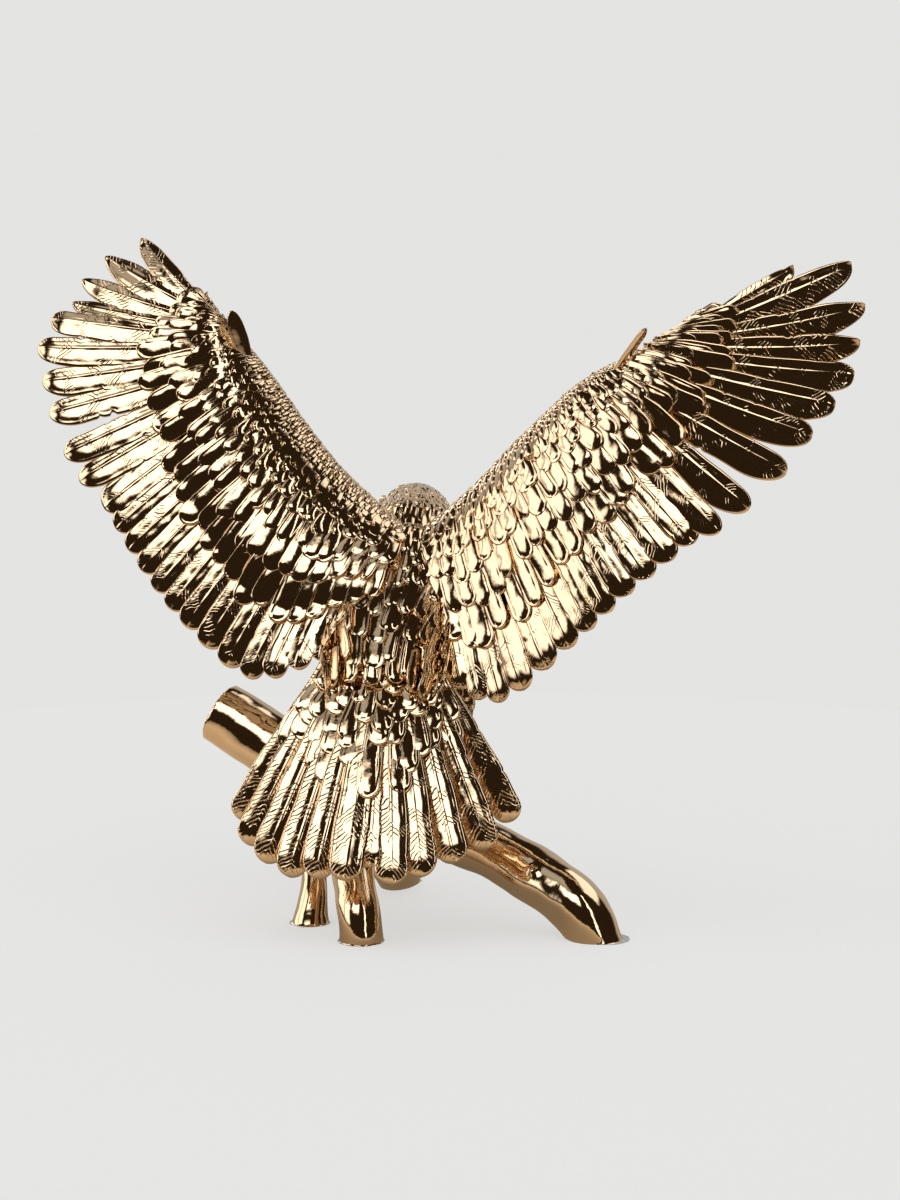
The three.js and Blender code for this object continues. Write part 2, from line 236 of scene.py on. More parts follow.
class WingSurface:
    """A wing: across runs from the body to the hand, down from the leading edge to the feather tips."""

    def __init__(self, lead, secondary_tips, primary_tips, rolls, covert_rolls, last_covert_rolls, **facts):
        self.__dict__.update(facts)
        self.roll = value_through(rolls)
        self.covert_roll = value_through(covert_rolls)
        self.last_covert_roll = value_through(last_covert_rolls)
        self.lead = curve_through(lead)
        inner = curve_through(secondary_tips)(np.linspace(0, 1, SECONDARIES))
        self.tip = curve_through([*inner, *primary_tips])
        self.half = value_through(ARM_HALF_THICKNESS)
        self.reach = value_through(COVERT_REACH)

    def flat(self, across, down):
        lead = self.lead(across)
        return lead + (self.tip(across) - lead) * np.asarray(down, float)[..., None]

    def outward(self, across, down):
        return unit(self.flat(across + 0.04, down) - self.flat(across - 0.04, down))

    def __call__(self, across, down, height):
        across, down, height = np.broadcast_arrays(*(np.asarray(x, float) for x in (across, down, height)))
        chord = self.tip(across) - self.lead(across)
        outward = self.outward(across, down)
        face = unit(np.cross(chord, outward))
        face = face * np.where(face @ UPPER_SIDE < 0, -1.0, 1.0)[..., None]
        bulge = 4 * down * (1 - down) * np.linalg.norm(chord, axis=-1)
        hand = np.clip(3 * across - 1.5, 0, 1)
        raised = self.flat(across, down) + face * (WING_CAMBER * bulge + height)[..., None]
        return raised - outward * (PRIMARY_BOW * hand * bulge)[..., None]

    def arm(self, across, down):
        """How high the fleshy arm stands under the coverts."""
        share = np.clip(down / self.reach(across), 0, 1)
        bulge = (1.6 + 0.8 * self.arm_fall) * np.sqrt(share) * (1 - share) ** self.arm_fall
        return self.half(across) * (bulge + 0.1 * share)

    def top(self, across, down, height):
        return self(across, down, self.arm(across, down) + height)

    def lining(self, across, down, height):
        """The underside, where heights count downwards."""
        return self(across, down, -UNDER_ARM * self.arm(across, down) - BLADE_THICKNESS - height)


class TailSurface:
    """The fan: across runs from its left edge to its right, down from the root to the feather tips."""

    def __init__(self):
        self.tip = curve_through(TAIL_TIPS)

    def __call__(self, across, down, height):
        across, down, height = np.broadcast_arrays(*(np.asarray(x, float) for x in (across, down, height)))
        aside = across - 0.5
        shift = np.stack([aside * TAIL_ROOT_WIDTH, abs(aside) * TAIL_ROOT_SWEEP, 0 * aside], axis=-1)
        start = TAIL_ROOT + shift
        chord = self.tip(across) - start
        face = unit(np.cross(np.array([1.0, 0, 0]), chord))
        face = face * np.where(face @ UPPER_SIDE < 0, -1.0, 1.0)[..., None]
        return start + chord * down[..., None] + face * (TAIL_CAMBER * down * (1 - down) + height)[..., None]

    def under(self, across, down, height):
        return self(across, down, -TAIL_THICKNESS - height)


def even_turn(share, wide, deep):
    """The angle at a share of the girth of an oval with these half widths."""
    angles = np.linspace(0, TURN, 97)
    middle = (angles[1:] + angles[:-1]) / 2
    steps = np.hypot(wide[..., None] * np.sin(middle), deep[..., None] * np.cos(middle))
    passed = np.cumsum(steps, axis=-1)
    wanted = (share % 1)[..., None] * passed[..., -1:]
    number = np.minimum((passed < wanted).sum(axis=-1, keepdims=True), len(middle) - 1)
    step = np.take_along_axis(steps, number, axis=-1)
    short = np.take_along_axis(passed, number, axis=-1) - wanted
    turn = angles[number + 1] - short / step * (angles[1] - angles[0])
    return turn[..., 0] + TURN * np.floor(share)


class TubeSurface:
    """A tube through oval sections: across is the share of its girth, down the share of its length."""

    def __init__(self, sections):
        self.centre = curve_through([centre for centre, _, _ in sections])
        self.wide = value_through([wide for _, wide, _ in sections])
        self.deep = value_through([deep for _, _, deep in sections])

    def __call__(self, across, down, height):
        across, down, height = np.broadcast_arrays(*(np.asarray(x, float) for x in (across, down, height)))
        along = unit(self.centre(down + 0.02) - self.centre(down - 0.02))
        side = unit(np.array([1.0, 0, 0]) - along * along[..., :1])
        up = unit(np.cross(side, along))
        turn = even_turn(across, self.wide(down), self.deep(down))
        wide = (self.wide(down) + height) * np.cos(turn)
        deep = (self.deep(down) + height) * np.sin(turn)
        return self.centre(down) + side * wide[..., None] + up * deep[..., None]


class Spur:
    """A flat blade from a root to a tip, for a feather that stands free and faces a given way."""

    def __init__(self, root, tip, face):
        self.root = np.array(root, float)
        self.chord = np.array(tip, float) - self.root
        self.face = unit(face - unit(self.chord) * (face @ unit(self.chord)))

    def __call__(self, across, down, height):
        across, down, height = np.broadcast_arrays(*(np.asarray(x, float) for x in (across, down, height)))
        return self.root + self.chord * down[..., None] + self.face * height[..., None]


# Shells


class Shells:
    """Collects closed shells, each with a flat map in millimetres, and makes one object of them."""

    def __init__(self):
        self.points = []
        self.flats = []
        self.quads = []
        self.triangles = []
        self.count = 0

    def add(self, rings, flat=None):
        """Skins rings of points that run clockwise round the shell seen from its start."""
        rows, around = rings.shape[:2]
        if flat is None:
            flat = np.zeros((rows, around, 2))
        base, tip = rings[0].mean(axis=0), rings[-1].mean(axis=0)
        self.points.append(np.vstack([rings.reshape(-1, 3), base, tip]))
        self.flats.append(np.vstack([flat.reshape(-1, 2), flat[0].mean(axis=0), flat[-1].mean(axis=0)]))
        number = np.arange(rows * around).reshape(rows, around) + self.count
        ahead = np.roll(number, -1, axis=1)
        quads = np.stack([number[:-1], ahead[:-1], ahead[1:], number[1:]], axis=-1)
        self.quads.append(quads.reshape(-1, 4))
        base_number = np.full(around, self.count + rows * around)
        self.triangles.append(np.stack([ahead[0], number[0], base_number], axis=-1))
        self.triangles.append(np.stack([number[-1], ahead[-1], base_number + 1], axis=-1))
        self.count += rows * around + 2

    def mesh(self, name):
        points = (np.vstack(self.points) - CENTRE) * MILLIMETRE
        faces = np.vstack(self.quads).tolist() + np.vstack(self.triangles).tolist()
        mesh = bpy.data.meshes.new(name)
        mesh.from_pydata(points.tolist(), [], faces)
        corners = np.empty(len(mesh.loops), np.int32)
        mesh.loops.foreach_get("vertex_index", corners)
        flat = np.vstack(self.flats)[corners]
        layer = mesh.uv_layers.new(name="vane")
        layer.uv.foreach_set("vector", flat.ravel())
        return mesh


def make_piece(name, mesh, material):
    """Puts a mesh into the scene as a smooth piece of the eagle."""
    mesh.materials.clear()
    mesh.materials.append(material)
    mesh.polygons.foreach_set("use_smooth", np.ones(len(mesh.polygons), bool))
    mesh.update()
    piece = bpy.data.objects.new(name, mesh)
    bpy.context.scene.collection.objects.link(piece)
    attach(piece, BODY)
    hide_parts(NODE)
    return piece


def even_noise(points, size, seed):
    """Smooth noise from -1 to 1 at points, with lumps of about the given size."""
    place = np.asarray(points, float) / size + seed * 17.31
    cell = np.floor(place).astype(np.int64)
    step = place - cell
    step = step * step * (3 - 2 * step)
    total = np.zeros(len(place))
    for corner in range(8):
        shift = np.array([corner & 1, corner >> 1 & 1, corner >> 2 & 1])
        near = cell + shift
        mixed = near[:, 0] * 73856093 ^ near[:, 1] * 19349663 ^ near[:, 2] * 83492791 ^ seed * 2654435
        mixed = (mixed ^ mixed >> 13) * 1274126177 & 0x7FFFFFFF
        weight = np.prod(np.where(shift == 1, step, 1 - step), axis=1)
        total += weight * (mixed / 0x3FFFFFFF - 1)
    return total


# Feathers


def columns(*half):
    """Places across a vane, mirrored about the quill."""
    return np.array([-x for x in reversed(half)] + [0.0] + list(half))


FINE = columns(0.07, 0.16, 0.32, 0.5, 0.68, 0.82, 0.92, 0.98, 1.0)
MEDIUM = columns(0.3, 0.6, 0.8, 0.92, 1.0)
COARSE = columns(0.5, 0.88, 1.0)
BROAD = columns(0.6, 1.0)


class Feather:
    """The make of one kind of feather, in millimetres and in shares of its own length and half width.

    columns and under are places across its upper and lower side, and rows and end_rows count stations along
    the blade and round its tip. up and keel are its thickness above and below the middle. quill, arch, dome,
    roof, rim, groove and lump are heights of relief: shaft, swelling of each vane, rounding towards the
    outline, ridge, bead along the outline, the groove inside the bead, and unevenness. curl is how far the
    tip bends down. waist is the width at the root, and the width is full at widest. ends, points and sides
    say for each vane how long its tip is, how blunt, and how wide the vane is. splits counts nicks in the
    edge.
    """

    def __init__(self, **facts):
        self.columns = FINE
        self.under = COARSE
        self.rows = 40
        self.end_rows = 9
        self.up = 0.9
        self.keel = 1.5
        self.quill = 1.0
        self.quill_width = 0.8
        self.arch = 1.3
        self.dome = 0.0
        self.roof = 0.0
        self.rim = 0.5
        self.groove = 0.25
        self.rim_place = 0.08
        self.groove_place = 0.21
        self.lump = 0.15
        self.curl = 0.0
        self.waist = 0.8
        self.widest = 0.5
        self.ends = (1.2, 1.2)
        self.points = (2.0, 2.0)
        self.sides = (1.0, 1.0)
        self.splits = 0
        self.__dict__.update(facts)

    def build(self, shells, surface, start, end, heights, half, rng, tilt=0.0, leading=1):
        """Lays one feather on a surface from start to end, both given as (across, down)."""
        reaches, powers, sides = (facts[::leading] for facts in (self.ends, self.points, self.sides))
        ends = surface(np.array([start[0], end[0]]), np.array([start[1], end[1]]), 0.0)
        length = np.linalg.norm(ends[1] - ends[0]) * 1.03
        turns = [1 - min(0.7, reach * half / length) for reach in reaches]
        turn = min(turns)
        body = np.linspace(0, turn, self.rows, endpoint=False)
        arc = np.sin(np.linspace(0, math.pi / 2, self.end_rows + 1))
        share = np.append(body, turn + (1 - turn) * arc[:-1])
        share = np.append(share, 1 - (1 - turn) * 0.003)
        across = start[0] + (end[0] - start[0]) * share
        down = start[1] + (end[1] - start[1]) * share
        lift = heights[0] + (heights[1] - heights[0]) * share
        tip_turn = 1 - min(0.5, 1.3 * half / length)
        fall = np.clip((share - tip_turn) / (1 - tip_turn), 0, 1) ** 2.5
        middle = surface(across, down, lift)
        normal = unit(surface(across, down, lift + 1) - middle)
        along = unit(np.gradient(middle, axis=0))
        aside = unit(np.cross(along, normal))
        normal = np.cross(aside, along)
        middle = middle - normal * (self.curl * fall)[:, None]
        way = share * length
        base = self.waist + (1 - self.waist) * smooth_step(0, self.widest, share)
        wave = rng.uniform(0, TURN, 5)
        sway = half * base * (1 + 0.03 * np.sin(way * 0.12 + wave[0]))
        fulls = [sway * sides[k] for k in (0, 1)]
        pasts = [(share - turns[k]) / (1 - turns[k]) for k in (0, 1)]
        widths = []
        for k in (0, 1):
            past = np.clip(pasts[k], 0, 1)
            widths.append(fulls[k] * np.sqrt(np.clip(1 - past ** powers[k], 0, 1)))
        for _ in range(self.splits):
            side = rng.integers(2)
            where = rng.uniform(0.35, 1.0) * turn * length
            depth = rng.uniform(0.08, 0.2)
            split = bell(way - where, rng.uniform(1.0, 1.8))
            widths[side] = widths[side] * (1 - depth * split)
        full = half * sum(sides)
        closing = (np.clip((widths[0] + widths[1]) / full * 1.5, 0, 1) ** 0.6)[:, None]
        y = way[:, None]

        def gap_to_outline(x, side, gap_aside):
            """How far points are from the outline, round the tip too."""
            held = np.clip(abs(x) / np.stack(fulls, axis=1)[:, side], 0, 1)
            outline = (1 - held**2) ** (1 / np.array(powers)[side])
            ahead = (outline - np.stack(pasts, axis=1)[:, side]) * (1 - np.array(turns)[side]) * length
            ahead = np.maximum(ahead, 0)
            return gap_aside * ahead / np.maximum(np.hypot(gap_aside, ahead), 1e-6)

        def cross_section(places, downward):
            edge = abs(places)[None, :]
            side = (places > 0).astype(int)
            width = np.stack(widths, axis=1)[:, side]
            x = places[None, :] * width
            gap = gap_to_outline(x, side, (1 - edge) * width) / half
            rounded = np.sqrt(np.clip(1 - edge**8, 0, 1))
            taper = 1 - 0.6 * share[:, None]
            quill = self.quill * taper * bell(x, self.quill_width * (1.4 - 0.6 * share[:, None]))
            vane = self.arch * np.sin(math.pi * np.clip(edge, 0, 1)) ** 0.8
            vane = vane + self.dome * (1 - (1 - np.clip(gap * 1.1, 0, 1)) ** 2) + self.roof * (1 - edge)
            bead = self.rim * bell(gap - self.rim_place, 0.7 * self.rim_place)
            bead = bead - self.groove * bell(gap - self.groove_place, 0.4 * self.groove_place)
            lumps = np.sin(x * 0.45 + y * 0.23 + wave[1]) + np.sin(y * 0.37 - x * 0.3 + wave[2])
            lumps = lumps * 0.5 + 0.6 * np.sin(y * 0.13 + x * 0.1 + wave[3])
            slope = tilt * leading * places[None, :] + 0 * x
            if downward:
                deep = self.keel + quill * 0.8 - vane * 0.3 + 0.4 * self.lump * lumps
                height = slope - closing * rounded * deep
            else:
                height = slope + closing * rounded * (self.up + quill + vane + bead + self.lump * lumps)
            place = middle[:, None] + aside[:, None] * x[..., None] + normal[:, None] * height[..., None]
            return place, np.stack([x, y * np.ones_like(x)], axis=-1)

        top, top_flat = cross_section(self.columns, False)
        under, under_flat = cross_section(self.under[1:-1][::-1], True)
        rings = np.concatenate([top, under], axis=1)
        flat = np.concatenate([top_flat, under_flat], axis=1)
        shells.add(rings, flat + np.array([0, wave[4] * 40]))


SECONDARY = Feather(
    rows=34, arch=0.4, roof=0.5, quill=1.0, rim=0.5, curl=3.0, waist=0.85, ends=(1.0, 1.0), points=(2.2, 2.2),
    lump=0.13, splits=3,
)
PRIMARY = Feather(
    rows=42, end_rows=13, arch=0.3, roof=0.5, quill=1.0, rim=0.45, curl=2.4, waist=0.8, widest=0.4,
    sides=(1.25, 0.7), ends=(2.4, 1.1), points=(2.3, 2.2), lump=0.12, splits=3,
)
POINTED_PRIMARY = Feather(
    rows=42, end_rows=14, arch=0.3, roof=0.6, quill=1.0, rim=0.35, curl=-3.4, waist=0.7, widest=0.45,
    sides=(1.15, 0.75), ends=(3.2, 2.6), points=(1.6, 1.7), lump=0.1, splits=5,
)
TAIL_FEATHER = Feather(
    rows=46, arch=0.8, roof=1.6, quill=1.0, rim=0.55, curl=4.0, waist=0.6, widest=0.8, ends=(1.1, 1.1),
    points=(2.2, 2.2), lump=0.1, splits=3,
)
GREATER = Feather(
    columns=MEDIUM, under=BROAD, rows=14, end_rows=8, arch=0.1, dome=0.9, quill=0.3, rim=0.85, groove=0.5,
    lump=0.22, curl=1.0, waist=0.75, ends=(1.15, 1.15),
)
TONGUE = Feather(
    columns=MEDIUM, under=BROAD, rows=9, end_rows=7, arch=0.0, dome=1.0, quill=0.2, rim=0.85, groove=0.5,
    lump=0.2, curl=0.9, waist=0.75, ends=(1.15, 1.15),
)
SCOOP = Feather(
    columns=MEDIUM, under=BROAD, rows=5, end_rows=6, up=1.0, arch=0.0, dome=0.9, quill=0.0, rim=0.7,
    groove=0.4, lump=0.12, curl=0.5, waist=0.8, ends=(1.1, 1.1), keel=0.8,
)
DROP = Feather(
    columns=MEDIUM, under=BROAD, rows=6, end_rows=7, up=1.0, arch=0.0, dome=1.4, quill=0.0, rim=0.85,
    groove=0.5, lump=0.13, curl=0.8, waist=0.75, widest=0.7, ends=(1.15, 1.15), keel=0.8,
)
PEBBLE = Feather(
    columns=COARSE, under=columns(1.0), rows=2, end_rows=4, up=1.0, arch=0.0, dome=1.2, quill=0.0,
    rim=0.0, groove=0.0, lump=0.2, curl=0.6, waist=0.8, ends=(1.1, 1.1), keel=0.6,
)
FLECK = Feather(
    columns=COARSE, under=columns(1.0), rows=2, end_rows=3, up=0.3, arch=0.0, dome=0.5, quill=0.0,
    rim=0.0, groove=0.0, lump=0.05, curl=0.2, waist=0.6, ends=(1.4, 1.4), keel=0.4,
)
THUMB = Feather(
    columns=MEDIUM, under=COARSE, rows=18, end_rows=10, arch=0.3, roof=0.8, quill=0.6, rim=0.4, waist=0.7,
    ends=(2.4, 2.0), points=(1.7, 1.7), sides=(1.0, 0.8),
)


def lay_row(
    shells, kind, surface, rng, *, count, span, root, tip, heights, half, shift, ragged=0.12, roll=None,
):
    """Lays a row of overlapping feathers. root, tip, half and roll are functions of the place across."""
    first, last = span
    step = (last - first) / count
    for number in range(count):
        across = first + step * (number + 0.5 + shift + 0.18 * rng.uniform(-1, 1))
        lean = step * 0.3 * rng.uniform(-1, 1)
        top, bottom = root(across), tip(across)
        end = bottom + (bottom - top) * ragged * rng.uniform(-1, 1)
        raised = heights[1] + rng.uniform(-0.5, 0.5)
        size = half(across) * rng.uniform(0.86, 1.12)
        turned = rng.uniform(-1.2, 1.2) + (roll(across) if roll else 0)
        start, stop = (across, top), (across + lean, end)
        kind.build(shells, surface, start, stop, (heights[0], raised), size, rng, turned)


# Pieces


def wing_flights(wing, rng):
    """The big feathers of one wing, from the body to the hand, and apart from them the pointed ones."""
    shells = Shells()
    fingers = Shells()
    step = 1 / (FLIGHTS - 1)
    for i in range(FLIGHTS):
        across = i * step
        root = wing.reach(np.array(across)) * FLIGHT_ROOT
        near = wing.flat(np.array(across - step / 2), 0.9)
        far = wing.flat(np.array(across + step / 2), 0.9)
        gap = np.linalg.norm(far - near)
        kind = SECONDARY
        half = gap * SECONDARY_SPREAD
        if i >= SECONDARIES:
            kind = POINTED_PRIMARY if i >= FLIGHTS - wing.pointed else PRIMARY
            half = min(gap * PRIMARY_SPREAD, WIDEST_PRIMARY)
        if i == FLIGHTS - 1:
            half = wing.outermost
        roll = float(wing.roll(np.array(across))) + rng.uniform(-0.3, 0.3)
        group = fingers if kind is POINTED_PRIMARY else shells
        kind.build(group, wing, (across, root), (across, 1.0), (0.5, 0), half, rng, roll, wing.leading)
    return shells, fingers


def covert_rows(shells, surface, wing, rows, rng):
    """Rows of small feathers from the last one up to the leading edge, longer on the hand."""
    for number, (kind, tip, long, count, half, low, high) in enumerate(rows):

        def root(across, tip=tip, long=long):
            hand = float(smooth_step(0.5, 0.9, np.array(across)))
            return float(wing.reach(np.array(across))) * max(tip - long * (1 + hand), 0.0)

        def end(across, tip=tip):
            return float(wing.reach(np.array(across))) * tip

        def roll(across, tip=tip, half=half):
            given = wing.last_covert_roll if tip > 0.6 else wing.covert_roll
            return wing.leading * float(given(np.array(across))) * half / 9

        lay_row(
            shells, kind, surface, rng, count=count, span=COVERT_SPAN, root=root, tip=end,
            heights=(low, high), half=lambda across, half=half: half * (1.0 - 0.12 * across),
            shift=number % 2 / 2, roll=roll,
        )


# Kind, tip and length as shares of the covered depth, how many, half width, height at the root and the tip.
COVERT_ROWS = [
    (GREATER, 1.1, 0.5, 28, 10.2, 0.0, 2.8),
    (GREATER, 0.86, 0.42, 28, 10.0, 0.0, 3.6),
    (TONGUE, 0.65, 0.34, 30, 9.2, 0.0, 3.6),
    (TONGUE, 0.48, 0.26, 32, 8.2, 0.0, 3.4),
    (SCOOP, 0.36, 0.2, 36, 7.0, 0.0, 3.0),
    (SCOOP, 0.27, 0.15, 40, 6.0, 0.0, 2.6),
    (PEBBLE, 0.2, 0.12, 46, 4.6, -0.3, 1.9),
    (PEBBLE, 0.155, 0.1, 54, 3.8, -0.3, 1.6),
    (PEBBLE, 0.115, 0.08, 60, 3.3, -0.3, 1.4),
    (PEBBLE, 0.08, 0.06, 64, 3.0, -0.3, 1.2),
    (PEBBLE, 0.05, 0.05, 66, 2.9, -0.3, 1.1),
    (PEBBLE, 0.022, 0.05, 66, 2.9, -0.3, 1.0),
]
LINING_ROWS = [
    (GREATER, 1.02, 0.5, 24, 11.0, 0.5, 2.8),
    (TONGUE, 0.76, 0.36, 26, 10.0, 0.5, 2.8),
    (TONGUE, 0.56, 0.28, 28, 8.6, 0.5, 2.6),
    (SCOOP, 0.4, 0.2, 32, 7.4, 0.4, 2.4),
    (SCOOP, 0.28, 0.17, 36, 6.4, 0.3, 2.2),
    (SCOOP, 0.17, 0.13, 40, 5.8, 0.3, 2.0),
    (PEBBLE, 0.09, 0.09, 46, 5.0, 0.0, 1.6),
]


def wing_coverts(wing, rng):
    """The small feathers over the arm and over the roots of the flight feathers, row after row."""
    shells = Shells()
    covert_rows(shells, wing.top, wing, COVERT_ROWS, rng)
    root, tip, half = wing.thumb
    spur = Spur(root, tip, THUMB_FACE)
    THUMB.build(shells, spur, (0.5, 0.0), (0.5, 1.0), (0, 0), half, rng, 1.0, wing.leading)
    return shells


def wing_core(wing):
    """The smooth arm under the small feathers, closed along both edges."""
    shells = Shells()
    across = np.linspace(-0.05, 1.0, 60)
    down = np.linspace(0.0, 1.0, 16) ** 1.5
    grid_across, grid_down = np.meshgrid(across, down, indexing="ij")
    deep = grid_down * wing.reach(grid_across) * 0.8
    top = wing(grid_across, deep, wing.arm(grid_across, deep) * 0.97 - 0.4)
    under = wing(grid_across, deep, -0.6 * wing.arm(grid_across, deep) - 0.6)
    rings = np.concatenate([top, under[:, ::-1]], axis=1)
    if np.cross(rings[1, 0] - rings[0, 0], rings[0, 1] - rings[0, 0]) @ UPPER_SIDE > 0:
        rings = rings[:, ::-1]
    shells.add(rings)
    return shells


def wing_lining(wing, rng):
    """The small feathers under the wing."""
    shells = Shells()
    covert_rows(shells, wing.lining, wing, LINING_ROWS, rng)
    return shells


def join(*groups):
    """All the shells of several collections in one."""
    whole = Shells()
    for group in groups:
        whole.points += group.points
        whole.flats += group.flats
        whole.quads += [quads + whole.count for quads in group.quads]
        whole.triangles += [triangles + whole.count for triangles in group.triangles]
        whole.count += group.count
    return whole


# The same facts for the coverts of the tail, in shares of its length.
TAIL_COVERT_ROWS = [
    (GREATER, 0.6, 0.3, 10, 11.0, 1.2, 4.4),
    (DROP, 0.5, 0.26, 9, 11.2, 1.2, 5.0),
    (DROP, 0.4, 0.22, 8, 11.0, 1.4, 5.8),
    (DROP, 0.31, 0.19, 8, 9.8, 1.6, 6.4),
    (DROP, 0.235, 0.16, 8, 8.6, 1.8, 6.8),
    (DROP, 0.17, 0.13, 8, 7.4, 2.0, 7.2),
    (DROP, 0.115, 0.11, 8, 6.4, 2.2, 7.4),
    (DROP, 0.065, 0.1, 8, 5.8, 2.2, 7.6),
]


def tail_feathers(rng):
    """The fan of the tail, with its coverts above and below."""
    shells = Shells()
    tail = TailSurface()
    count = len(TAIL_TIPS)
    middle = (count - 1) / 2
    # A shorter feather under the middle ones closes the fan.
    places = [(i, 1.0, 1.6 - 0.3 * abs(i - middle)) for i in range(count)] + [(middle + 0.5, 0.93, -1.5)]
    for i, end, height in places:
        across = i / (count - 1)
        half = TAIL_FEATHER_HALF - 0.35 * abs(i - middle)
        tilt = -1.6 * np.sign(i - middle)
        TAIL_FEATHER.build(shells, tail, (across, 0.1), (across, end), (height, height), half, rng, tilt)
    coverts = Shells()
    for number, (kind, tip, long, number_of, half, low, high) in enumerate(TAIL_COVERT_ROWS):
        for place, heights in ((tail, (low, high)), (tail.under, (0.0, 2.5))):
            lay_row(
                coverts, kind, place, rng, count=number_of, span=(0.0, 1.0),
                root=lambda across, tip=tip, long=long: tip - long,
                tip=lambda across, tip=tip: tip - 0.24 * tip * abs(across - 0.5),
                heights=heights, half=lambda across, half=half: half, shift=number % 2 / 2 - 0.25,
                ragged=0.25,
            )
    return shells, coverts


def tube(surface, first, last, rows, around, height=0.0):
    """A closed smooth tube on a tube surface."""
    shells = Shells()
    down = np.linspace(first, last, rows)
    turn = np.linspace(0, 1, around, endpoint=False)
    grid_down, grid_turn = np.meshgrid(down, turn, indexing="ij")
    rings = surface(grid_turn, grid_down, height)
    along = rings[1].mean(axis=0) - rings[0].mean(axis=0)
    face = np.cross(rings[0, 0] - rings[0].mean(axis=0), rings[0, 1] - rings[0].mean(axis=0))
    if face @ along < 0:
        rings = rings[:, ::-1]
    shells.add(rings)
    return shells


def body_feathers(rng):
    """The scaled trunk, whose last rows run out over the root of the tail."""
    trunk = TubeSurface(TRUNK)
    shells = Shells()
    place = 0.0
    number = 0
    while place < FACE_BEGINS:
        wide = float(trunk.wide(np.array(place + 0.05)))
        deep = float(trunk.deep(np.array(place + 0.05)))
        girth = math.pi * (3 * (wide + deep) - math.sqrt((3 * wide + deep) * (wide + 3 * deep)))
        size = RUMP_FEATHER - NECK_NARROWER * float(smooth_step(0.08, 0.6, np.array(place)))
        count = max(9, int(girth / (size * 1.6)))
        kind = DROP if place < DROPS_END else PEBBLE if place < PEBBLES_END else FLECK
        long = size * 3.8 / TRUNK_LENGTH
        lay_row(
            shells, kind, trunk, rng, count=count, span=(0.0, 1.0),
            root=lambda across, place=place, long=long: place + long, tip=lambda across, place=place: place,
            heights=(0.0, 0.42 * size if place < PEBBLES_END else 0.4), half=lambda across, size=size: size,
            shift=number % 2 / 2, ragged=0.2,
        )
        place += size * 1.9 / TRUNK_LENGTH
        number += 1
    return join(shells, tube(trunk, 0.1, 1.0, 60, 48))


def limb(shells, axis, radius, rows=40, around=28):
    """Adds a round limb along a curve to shells, without a twist."""
    line = curve_through(axis)
    size = value_through(radius)
    share = np.linspace(0, 1, rows)
    middle = line(share)
    along = unit(line(share + 0.01) - line(share - 0.01))
    side = np.cross(along[0], np.array([0.0, 0.0, 1.0]))
    if np.linalg.norm(side) < 0.3:
        side = np.array([1.0, 0.0, 0.0])
    rings = []
    turn = np.linspace(0, TURN, around, endpoint=False)
    for k in range(rows):
        side = unit(side - along[k] * (side @ along[k]))
        up = np.cross(side, along[k])
        wide = np.cos(turn)[:, None] * side + np.sin(turn)[:, None] * up
        rings.append(middle[k] + wide * size(share[k : k + 1])[0])
    shells.add(np.array(rings))


def branch_top(x):
    """The top of the branch at a place along X."""
    line = curve_through(BRANCH_AXIS)
    size = value_through(BRANCH_RADIUS)
    shares = np.linspace(0, 1, 2001)
    best = shares[np.argmin(abs(line(shares)[:, 0] - x))]
    return line(np.array(best)) + np.array([0, 0, float(size(np.array(best)))])


def fused(shells, name, voxel, smooth=2):
    """One skin round overlapping shells."""
    mesh = shells.mesh(name + "_rough")
    rough = bpy.data.objects.new(name + "_rough", mesh)
    bpy.context.scene.collection.objects.link(rough)
    modifier = rough.modifiers.new("fuse", "REMESH")
    modifier.mode = "VOXEL"
    modifier.voxel_size = voxel * MILLIMETRE
    soften = rough.modifiers.new("soften", "SMOOTH")
    soften.factor = 0.5
    soften.iterations = smooth
    graph = bpy.context.evaluated_depsgraph_get()
    result = bpy.data.meshes.new_from_object(rough.evaluated_get(graph))
    bpy.data.objects.remove(rough)
    bpy.data.meshes.remove(mesh)
    result.name = name
    return result


def mesh_points(mesh):
    """The points of a mesh in millimetres, in the shared frame."""
    points = np.empty(len(mesh.vertices) * 3)
    mesh.vertices.foreach_get("co", points)
    return points.reshape(-1, 3) / MILLIMETRE


def mesh_normals(mesh):
    """The outward direction at each point of a mesh."""
    normals = np.empty(len(mesh.vertices) * 3)
    mesh.vertices.foreach_get("normal", normals)
    return normals.reshape(-1, 3)


def move_points(mesh, points):
    """Puts the points of a mesh at new places, given in millimetres."""
    mesh.vertices.foreach_set("co", (points * MILLIMETRE).ravel())
    mesh.update()


def branch_mesh():
    """The forked branch with its knots, hollowed at the cut end, and pressed flat onto the ground."""
    shells = Shells()
    limbs = [(BRANCH_AXIS, BRANCH_RADIUS)] + [(fork["axis"], fork["radius"]) for fork in FORKS]
    for axis, radius in limbs:
        limb(shells, axis, radius, 90, 48)
    for start, end, wide, narrow in KNOTS:
        limb(shells, [start, end], [wide, narrow], 12, 20)
    mesh = fused(shells, "branch", BRANCH_GRAIN)
    points = mesh_points(mesh)
    normals = mesh_normals(mesh)
    swell = 1.7 * even_noise(points, 30, 3) + 0.4 * even_noise(points, 13, 5)
    swell = swell + 0.08 * even_noise(points, 5, 8)
    points = points + normals * (swell - 0.4)[:, None]
    cut, inwards = np.array(BRANCH_AXIS[0]) - CENTRE, unit(np.subtract(BRANCH_AXIS[1], BRANCH_AXIS[0]))
    inside = (points - cut) @ inwards
    aside = np.linalg.norm(points - cut - inside[:, None] * inwards, axis=1)
    inner = BRANCH_RADIUS[0] - CUT_RIM
    hollow = (1 - smooth_step(inner - 3, inner, aside)) * (1 - smooth_step(4, 8, inside))
    points = points + inwards * (CUT_DEPTH * hollow)[:, None]
    points[:, 2] = np.maximum(points[:, 2], 0)
    move_points(mesh, points)
    return mesh


